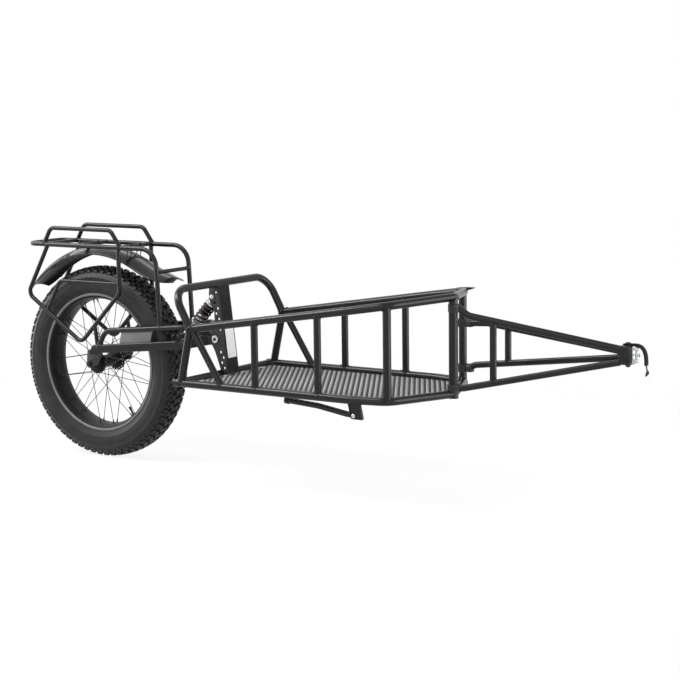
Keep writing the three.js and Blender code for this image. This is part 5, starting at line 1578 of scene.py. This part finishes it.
class TRAILER_OT_wheel(TrailerOperator):
    """Tyre with its knobs, rim, spokes, nipples and hub"""

    bl_idname = "trailer.wheel"
    bl_label = "Wheel"
    body = "wheel"

    def make(self):
        profile = [(r, -y) for r, y in CASING] + CASING[::-1] + [(0.2033, 0.0335), (0.2033, -0.0335)]
        self.put("tyre_casing", self.round(profile), "tyre", slot="tyre_rubber")
        self.ring("tyre_knobs", self.knobs(), sizes().tread_pitches, "tyre_rubber")
        self.put("rim_hoop", self.rim(), "rim", slot="rim_aluminium")
        self.put("rim_edges", self.lip(), slot="rim_aluminium", look="rim_lip")
        self.put("hub_shell", self.hub(), "hub", slot="rim_aluminium")
        pairs = sizes().spoke_pairs
        for side, sign in SIDES.items():
            self.ring(f"spoke_set_{side}", self.spokes(sign, pairs), pairs, "spoke_steel", f"spokes_{side}")
            self.ring(f"spoke_heads_{side}", self.heads(sign), 2 * pairs, "fastener_steel")
        self.put("valve", self.valve(), slot="fastener_steel", look="clip_plastic")

    def ring(self, name, shape, count, slot, *nodes):
        mesh = ring_of_copies(name, shape, count, finish(slot))
        mesh.transform(Matrix.Translation(AXLE))
        self.put(name, smoothed(mesh), *nodes, slot=slot)

    def round(self, profile, segments=128):
        return Shape().turned(profile, AXLE, LEFT, segments, closed=True)

    def knobs(self):
        shape = Shape()
        pitch = 2 * math.pi / sizes().tread_pitches
        for sign in SIDES.values():
            for y, radius, tilt, phase, length, width in KNOB_ROWS:
                angle = (phase + (KNOB_LAG if sign > 0 else 0.0)) * pitch
                out = ray(angle)
                along = ray(angle + math.pi / 2)
                side = LEFT * sign
                normal = out * math.cos(tilt) + side * math.sin(tilt)
                across = normal.cross(along) * (width / 2)
                along = along * (length / 2)
                top = out * radius + side * y
                rings = []
                for depth, grow in KNOB_LAYERS:
                    middle = top - normal * depth
                    rings.append([middle + along * (a * grow) + across * (b * grow) for a, b in KNOB_CORNERS])
                shape.rings(rings)
        return shape.outward()

    def rim(self):
        outside = RIM_RADIUS - 0.0004
        half = [
            (RIM_FLOOR, 0.012), (RIM_FLOOR + 0.0012, 0.02), (RIM_FLOOR + 0.0055, 0.029),
            (RIM_FLOOR + 0.0068, RIM_HALF - 0.0045), (RIM_RADIUS - 0.001, RIM_HALF - 0.001),
            (RIM_RADIUS + 0.0035, RIM_HALF + 0.0012), (RIM_RADIUS + 0.0055, RIM_HALF + 0.0005),
            (RIM_RADIUS + 0.0048, RIM_HALF - 0.0012), (outside, RIM_HALF - 0.003), (outside, 0.02),
        ]
        return self.round(mirrored(half[::-1]))

    def lip(self):
        """The rim's rounded edges against the tyre."""
        half = [
            (0.2008, 0.0375), (0.2025, 0.0398), (0.2055, 0.0404), (0.2078, 0.0395), (0.2083, 0.0376),
            (0.2045, 0.0362),
        ]
        shape = Shape()
        for sign in SIDES.values():
            shape.turned([(r, sign * y) for r, y in half], AXLE, LEFT, 128, closed=True)
        return shape.outward()

    def hub(self):
        end = ARM_Y - 0.003 - SEAT
        half = [
            (0.019, 0.0), (0.0172, 0.012), (0.0175, 0.03), (0.021, 0.038), (0.0325, 0.0405),
            (HUB_FLANGE, 0.0413), (HUB_FLANGE, 0.0447), (0.0322, 0.0455), (0.025, 0.0458), (0.0235, 0.052),
            (0.0165, 0.0545), (0.016, 0.06), (0.0125, 0.062), (0.012, end - 0.001), (0.0112, end),
            (0.0065, end),
        ]
        return self.round([(r, -y) for r, y in reversed(half)] + half[1:], 56)

    def spokes(self, sign, pairs):
        """A crossed pair of spokes, with their elbows at the flange and nipples at the rim."""
        shape = Shape()
        nipple = [(0, 0), (0.0016, 0.0), (0.002, 0.004), (0.0028, 0.011), (0, 0.0115)]
        for base, sweep, outside in ((0.0, 62, -0.0012), (math.pi / pairs, -62, 0.0012)):
            through = ray(base) * SPOKE_CIRCLE + LEFT * (sign * FLANGE_Y)
            foot = through + LEFT * (sign * (0.0022 + outside))
            end = ray(base + math.radians(sweep)) * RIM_FLOOR + LEFT * (sign * 0.0075)
            run = (end - foot).normalized()
            bend = foot + run * 0.004
            shape.sweep([through, foot, bend], circle(ELBOW_WIRE, 8))
            shape.sweep([bend, end], circle(SPOKE_WIRE, 8))
            shape.turned(nipple, end - run * 0.011, run, 10)
        return shape

    def heads(self, sign):
        foot = (SPOKE_CIRCLE, sign * (FLANGE_Y - 0.003), 0)
        head = [(0, 0), (0.0016, 0.0001), (0.0021, 0.0007), (0.0016, 0.0014), (0, 0.0016)]
        return Shape().turned(head, foot, LEFT * -sign, 10)

    def valve(self):
        inward = -ray(VALVE_ANGLE)
        profile = [
            (0, 0), (0.0048, 0), (0.0048, 0.0025), (0.003, 0.0035), (0.003, 0.022), (0.0038, 0.023),
            (0.0038, 0.03), (0.003, 0.032), (0, 0.032),
        ]
        return Shape().turned(profile, AXLE - inward * (RIM_FLOOR + 0.001), inward, 20)


class TRAILER_OT_shock(TrailerOperator):
    """The shock: body, collar, coil spring and shaft"""

    bl_idname = "trailer.shock"
    bl_label = "Shock"
    body = "damper"

    def make(self):
        self.line = (SHOCK_EYE - SHOCK_TOP).normalized()
        self.length = (SHOCK_EYE - SHOCK_TOP).length
        self.perch = self.length - 0.018
        self.put("shock_tube", self.tube(), "shock_body")
        self.put("shock_ring", self.collar(), "shock_collar", slot="fastener_steel")
        spring = self.put("coil_spring", self.spring(), "shock_spring", slot="spring_paint")
        seat = SHOCK_TOP + self.line * COLLAR_FACE
        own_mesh(spring)
        self.put("shock_rod", self.shaft(), "shock_shaft", slot="fastener_steel", body="damper_shaft")

    def eye(self, middle):
        edges = [(0.0018, 0), (0.0012, 0.0012), (0, 0.0018)]
        return Shape().sleeve(middle, EYE_RADIUS, BOLT_BORE, 0.012, edges)

    def tube(self):
        profile = [
            (0, 0.0075), (0.0085, 0.0075), (0.0115, 0.012), (0.0115, 0.073), (0.0105, 0.074), (0.006, 0.074),
            (0.006, 0.027), (0, 0.027),
        ]
        return self.eye(SHOCK_TOP).turned(profile, SHOCK_TOP, self.line, 36)

    def collar(self):
        """The threaded ring that sets the spring's load, with grooves round it."""
        profile = [
            (0.0118, 0.021), (0.0135, 0.021), (0.0135, 0.0265), (0.0175, 0.0265), (0.019, 0.0275),
            (0.019, 0.0295), (0.018, 0.03), (0.019, 0.0305), (0.019, 0.0325), (0.0182, COLLAR_FACE),
            (0.0118, COLLAR_FACE),
        ]
        return Shape().turned(profile, SHOCK_TOP, self.line, 40, closed=True)

    def spring(self):
        coils = sizes().spring_coils
        start = COLLAR_FACE + SEAT + SPRING_WIRE
        end = self.perch - PERCH_THICK - SEAT - SPRING_WIRE
        side = self.line.cross(LEFT)
        steps = 40 * coils
        path = []
        for k in range(steps + 1):
            angle = 2 * math.pi * coils * k / steps
            out = LEFT * math.cos(angle) + side * math.sin(angle)
            path.append(SHOCK_TOP + self.line * (start + k / steps * (end - start)) + out * SPRING_RADIUS)
        return Shape().sweep(path, circle(SPRING_WIRE, 14), side=self.line)

    def shaft(self):
        perch = self.perch
        face = perch - PERCH_THICK
        foot = self.length - 0.006
        profile = [
            (0, 0.069), (0.0045, 0.069), (0.005, 0.0695), (0.005, face), (0.0175, face),
            (0.019, face + 0.001), (0.019, perch - 0.0015), (0.0165, perch), (0.0088, perch),
            (0.0082, foot), (0, foot),
        ]
        return self.eye(SHOCK_EYE).turned(profile, SHOCK_TOP, self.line, 36)


# Each truss tube leaves its post at a height, bends at a distance and height, and ends at a height

TRUSS_LINES = {
    "right": {
        "upper": (0.5165, 0.042, 0.498, 0.4245), "lower": (0.302, 0.03, 0.3035, 0.3965), "strut": 0.111,
    },
    "left": {
        "upper": (0.4505, 0.09, 0.456, 0.416), "lower": (0.325, 0.047, 0.337, 0.405), "strut": 0.159,
    },
}
LEVELS = ("upper", "lower")


class TRAILER_OT_tongue(TrailerOperator):
    """The two flat trusses of the tongue with their clamps and hinge barrels"""

    bl_idname = "trailer.tongue"
    bl_label = "Tongue"
    body = "tongue"

    def make(self):
        self.nose = nose_middle()
        self.corner = corner_middle()
        self.post = sizes().nose_radius
        arm = self.nose - self.corner
        self.facing = math.atan2(arm.x, -arm.y)
        middle = (BLOCK_REAR + BLOCK_FRONT) / 2
        for side, root, post in (("right", self.nose, self.post), ("left", self.corner, sizes().rail_radius)):
            end = Vector((middle, JOINT.y + SIDES[side] * TRUSS_SPREAD, 0))
            self.put(f"truss_{side}", self.truss(root, post, end, TRUSS_LINES[side]), f"tongue_{side}_truss")
            clamps = Shape()
            for key in LEVELS:
                if side == "right":
                    self.half_ring(clamps, key, CLAMP_WALL, 0.0)
                else:
                    self.barrel(clamps, post, end, TRUSS_LINES[side][key][0])
            self.put(f"clamps_{side}", clamps, slot="mast_paint")
        caps = Shape()
        for key in LEVELS:
            self.half_ring(caps, key, CAP_WALLS[key], math.pi)
        self.put("nose_caps", caps, "nose_cap_upper", "nose_cap_lower", slot="mast_paint", body="basket")
        self.put("clamp_bolts", self.bolts(), slot="fastener_steel", look="clip_plastic")

    def truss(self, root, post, end, lines):
        along = (end - root).normalized()
        across = Vector((-along.y, along.x, 0))
        length = (end - root).length
        reach = length - (BLOCK_FRONT - BLOCK_REAR) / 2 / along.x
        shape = Shape()
        section = rounded_section(TUBE_WIDE, TUBE_TALL, 0.0058, 5)

        def on_line(line, distance):
            start_z, bend_at, bend_z, end_z = line
            z = bend_z + (distance - bend_at) / (length - bend_at) * (end_z - bend_z)
            return root + along * distance + UP * z

        for key in LEVELS:
            line = lines[key]
            start = root + along * (post + 0.003) + UP * line[0]
            path = bent([start, on_line(line, line[1]), on_line(line, reach)], 0.03)
            shape.sweep(path, section, side=across)
        low, high = (on_line(lines[key], lines["strut"]) for key in ("lower", "upper"))
        shape.sweep([low, high], section, side=across)
        for foot, rise in ((low, 1), (high, -1)):
            shape.weld(foot, UP * rise, 0.0082, along * 0.98 + UP * (0.16 * rise), 0.0088, ARM_BEAD)
        return shape

    def barrel(self, shape, post, end, z):
        """A clamp that goes all the way round the left shoulder post, with the sleeve of its tube."""
        outer = post + CLAMP_WALL
        inner = post + 0.0004
        top = CLAMP_TALL
        edge = 0.0008
        rim = outer - edge
        profile = [(inner, 0), (rim, 0), (outer, edge), (outer, top - edge), (rim, top), (inner, top)]
        shape.turned(profile, self.corner + UP * (z - top / 2), UP, 48, closed=True)
        along = (end - self.corner).normalized()
        sleeve = [self.corner + UP * z + along * (outer + ahead) for ahead in (-0.001, 0.011, 0.017)]
        section = rounded_section(TUBE_WIDE + 0.003, TUBE_TALL + 0.003, 0.0062, 5)
        shape.sweep(sleeve, section, side=(-along.y, along.x, 0), scale=[1.0, 1.0, 0.9])

    def half_ring(self, shape, key, wall, turn):
        """Half a clamp on the nose post. It faces the way in which the tongue folds, or away from it."""
        inner = self.post + 0.0004
        outer = self.post + wall
        up = UP * CLAMP_TALL
        flat = self.nose + UP * TRUSS_LINES["right"][key][0] - up / 2
        rings = []
        steps = 24
        for k in range(steps + 1):
            angle = self.facing + turn - math.pi / 2 + math.pi * k / steps
            if k in (0, steps):
                angle += (1 if k == 0 else -1) * 0.012
            out = Vector((math.cos(angle), math.sin(angle), 0))
            low = [flat + out * inner, flat + out * outer]
            rings.append([*low, low[1] + up, low[0] + up])
        half = Shape().rings(rings).outward()
        half.bevel([e for e in half.bm.edges if e.calc_face_angle(0) > 0.8], 0.0006, 1)
        mesh = half.mesh("half")
        shape.bm.from_mesh(mesh)
        bpy.data.meshes.remove(mesh)

    def bolts(self):
        """Cap screws sunk in the walls of the nose clamps."""
        shape = Shape()
        out = Vector((math.cos(self.facing), math.sin(self.facing), 0))
        tangent = Vector((-out.y, out.x, 0)) * (self.post + CLAMP_WALL - 0.0032)
        for key in LEVELS:
            middle = self.nose + UP * TRUSS_LINES["right"][key][0] + out * 0.0088
            for sign in (-1, 1):
                shape.hexagon(middle + tangent * sign, out, 0.0042, 0.0024)
        return shape


class TRAILER_OT_hitch(TrailerOperator):
    """The hitch's block, fork, cross and yoke"""

    bl_idname = "trailer.hitch"
    bl_label = "Hitch"
    body = "tongue"

    def make(self):
        self.put("block", self.solid(), "hitch_block")
        self.put("block_bolt", self.bolt(), "hitch_bolt", slot="fastener_steel", look="clip_plastic")
        self.put("fork", self.fork(), "hitch_fork", "hitch_king_pin", slot="fastener_steel")
        self.put("cross", self.cross(), "hitch_cross", slot="fastener_steel", body="cross")
        self.put("yoke", self.yoke(), "hitch_yoke", slot="fastener_steel", body="yoke")
        # Painted shade: thin dark discs where the stub pins' end recesses lie in shadow
        self.put("yoke_sockets", self.sockets(), slot="fastener_steel", look="clip_plastic", body="yoke")

    def solid(self):
        side = JOINT.y - BLOCK_WIDE / 2
        low = (BLOCK_REAR, side, BLOCK_LOW)
        high = (BLOCK_FRONT, side + BLOCK_WIDE, BLOCK_LOW + BLOCK_TALL)
        shape = Shape().block(low, high, 0.0035, segments=4)
        for rise in (-1, 1):
            start = (BLOCK_REAR + 0.016, side, BLOCK_LOW + BLOCK_TALL / 2 + rise * 0.013)
            shape.washer(start, -LEFT, 0.006, 0.0028, 0.0006)
        return shape

    def bolt(self):
        x = 0.963
        top = BLOCK_LOW + BLOCK_TALL + 2 * SEAT + STRAP_SHEET
        head = [
            (0, 0), (0.0078, 0), (0.008, 0.001), (0.0068, 0.0034), (0.0036, 0.004), (0.003, 0.002),
            (0, 0.002),
        ]
        shape = Shape().bar((x, JOINT.y, BLOCK_LOW - 0.007), (x, JOINT.y, top + 0.002), BOLT)
        shape.turned(head, (x, JOINT.y, top), UP, 28)
        return shape.hexagon((x, JOINT.y, BLOCK_LOW - SEAT), -UP, 0.0125, 0.005)

    def about(self, shape, low, high, edge, segments=2):
        """A rounded box between two places that are counted from the joint's middle."""
        return shape.block(JOINT + Vector(low), JOINT + Vector(high), edge, segments=segments)

    def fork(self):
        base = BLOCK_FRONT + SEAT - JOINT.x
        wide = 0.0095
        tall = 0.022
        arm = 0.0065
        shape = self.about(Shape(), (base, -wide, -tall), (base + 0.0022, wide, tall), 0.0006)
        for low, high in ((-0.018, -0.012), (0.012, 0.018)):
            self.about(shape, (base, -arm, low), (0.006, arm, high), 0.0012, 3)
        shape.bar(JOINT - UP * 0.021, JOINT + UP * 0.0195, 0.0025)
        shape.bar(JOINT + UP * 0.0183, JOINT + UP * 0.0213, 0.0055)
        return shape.washer(JOINT - UP * 0.0195, UP, 0.005, 0.0025, 0.0012)

    def cross(self):
        half = Vector((0.0044, 0.0044, 0.0045))
        reach = UP * 0.0117
        shape = self.about(Shape(), -half, half, 0.0008)
        return shape.bar(JOINT - reach, JOINT + reach, 0.0042, 28, 0.0004)

    def yoke(self):
        """Two round ears on a bridge, with the ends of their stub pins."""
        shape = Shape()
        inner = 0.0047
        outer = 0.007
        tall = 0.004
        front = 0.011
        for sign, low, high in ((-1, -outer, -inner), (1, inner, outer)):
            self.about(shape, (0, low, -tall), (front, high, tall), 0.0006)
            shape.bar(JOINT + LEFT * low, JOINT + LEFT * high, 0.0042)
            shape.washer(JOINT + LEFT * (sign * outer), LEFT * sign, 0.0038, 0.002, 0.0006)
        return self.about(shape, (front - 0.0025, -outer, -tall), (front, outer, tall), 0.0006)

    def sockets(self):
        """Thin dark discs of painted shade, standing for recesses in the ends of the stub pins."""
        shape = Shape()
        for sign in SIDES.values():
            out = LEFT * sign
            shape.turned([(0, 0), (0.0021, 0), (0.0021, 0.0002), (0, 0.0002)], JOINT + out * 0.007, out, 16)
        return shape


class TRAILER_OT_stand(TrailerOperator):
    """The folded side stand and its bracket"""

    bl_idname = "trailer.stand"
    bl_label = "Side stand"

    def make(self):
        self.put("stand_plate", self.bracket(), "stand_bracket")
        self.put("stand_screw", self.screw(), "stand_bolt", "stand_spacer", slot="fastener_steel")
        low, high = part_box("stand_foot")
        reach = Vector(((low.x + high.x) / 2, STAND.y, (low.z + high.z) / 2)) - STAND
        self.put("leg", self.leg(reach.normalized(), reach.length), "stand_leg", body="stand")
        profile = [(0, 0), (0.0094, 0), (0.01, 0.0006), (0.01, 0.0125), (0.0085, 0.0137), (0, 0.0137)]
        foot = Shape().turned(profile, STAND + reach.normalized() * (reach.length - 0.007), reach, 28)
        self.put("leg_foot", foot, "stand_foot", slot="foot_rubber", body="stand")

    def bracket(self):
        low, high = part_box("stand_bracket")
        half = 0.018
        rear = STAND.x - half
        front = STAND.x + half
        slope = 0.01
        top = LOWER_Z - 0.004
        bottom = low.z
        outline = [
            (rear, top), (rear + slope, bottom + 0.002), (rear + slope + 0.002, bottom),
            (front + slope - 0.002, bottom), (front + slope, bottom + 0.002), (front, top),
        ]
        middle = (low.y + high.y) / 2
        thick = high.y - low.y
        shape = Shape().plate(outline, middle, thick, [(STAND.x, STAND.z, BOLT_BORE)], edge=0.0006)
        for x in (rear, front):
            path = [(x, middle, top), (x + slope, middle, bottom + 0.002)]
            shape.sweep(path, rounded_section(0.0022, thick + 0.004, 0.0008, 2), side=FORWARD)
        return shape

    def screw(self):
        def across(y):
            return (STAND.x, y, STAND.z)

        low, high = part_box("stand_bolt")
        near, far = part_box("stand_spacer")
        shape = Shape().bar(across(low.y + 0.001), across(high.y - 0.001), BOLT)
        shape.hexagon(across(low.y + 0.003), -LEFT, 0.0108, 0.003)
        shape.hexagon(across(high.y - 0.003), LEFT, 0.0108, 0.003)
        return shape.washer(across(near.y), LEFT, 0.006, BOLT_BORE, far.y - near.y)

    def leg(self, run, length):
        up = Vector((-math.copysign(run.z, run.x * run.z), 0, abs(run.x)))
        line = [
            STAND - run * 0.009, STAND + run * 0.03 - up * 0.003, STAND + run * (0.56 * length) + up * 0.0026,
            STAND + run * (length - 0.0068),
        ]
        return Shape().sweep(bent(line, 0.09), rounded_section(0.017, 0.015, 0.0065, 5), side=LEFT)


class TRAILER_PT_panel(bpy.types.Panel):
    """Sizes, colours and steps of the trailer"""

    bl_idname = "TRAILER_PT_panel"
    bl_label = "Cargo trailer"
    bl_space_type = "VIEW_3D"
    bl_region_type = "UI"
    bl_category = "Trailer"

    def draw(self, context):
        for group in (context.scene.trailer_sizes, context.scene.trailer_finishes):
            column = self.layout.column()
            for name in group.__annotations__:
                column.prop(group, name)
        for operator in OPERATORS:
            self.layout.operator(operator.bl_idname)


OPERATORS = [
    TRAILER_OT_stage,
    TRAILER_OT_strap,
    TRAILER_OT_basket,
    TRAILER_OT_floor_mesh,
    TRAILER_OT_mast,
    TRAILER_OT_swingarm,
    TRAILER_OT_rack,
    TRAILER_OT_fender,
    TRAILER_OT_wheel,
    TRAILER_OT_shock,
    TRAILER_OT_tongue,
    TRAILER_OT_hitch,
    TRAILER_OT_stand,
]
CLASSES = [TrailerSizes, TrailerFinishes, *OPERATORS, TRAILER_PT_panel]


def register():
    for cls in CLASSES:
        bpy.utils.register_class(cls)
    bpy.types.Scene.trailer_sizes = bpy.props.PointerProperty(type=TrailerSizes)
    bpy.types.Scene.trailer_finishes = bpy.props.PointerProperty(type=TrailerFinishes)


def unregister():
    del bpy.types.Scene.trailer_finishes
    del bpy.types.Scene.trailer_sizes
    for cls in reversed(CLASSES):
        bpy.utils.unregister_class(cls)


def main():
    register()
    for operator in OPERATORS:
        step = operator.bl_idname.split(".")[1]
        getattr(bpy.ops.trailer, step)()


if __name__ == "__main__":
    main()
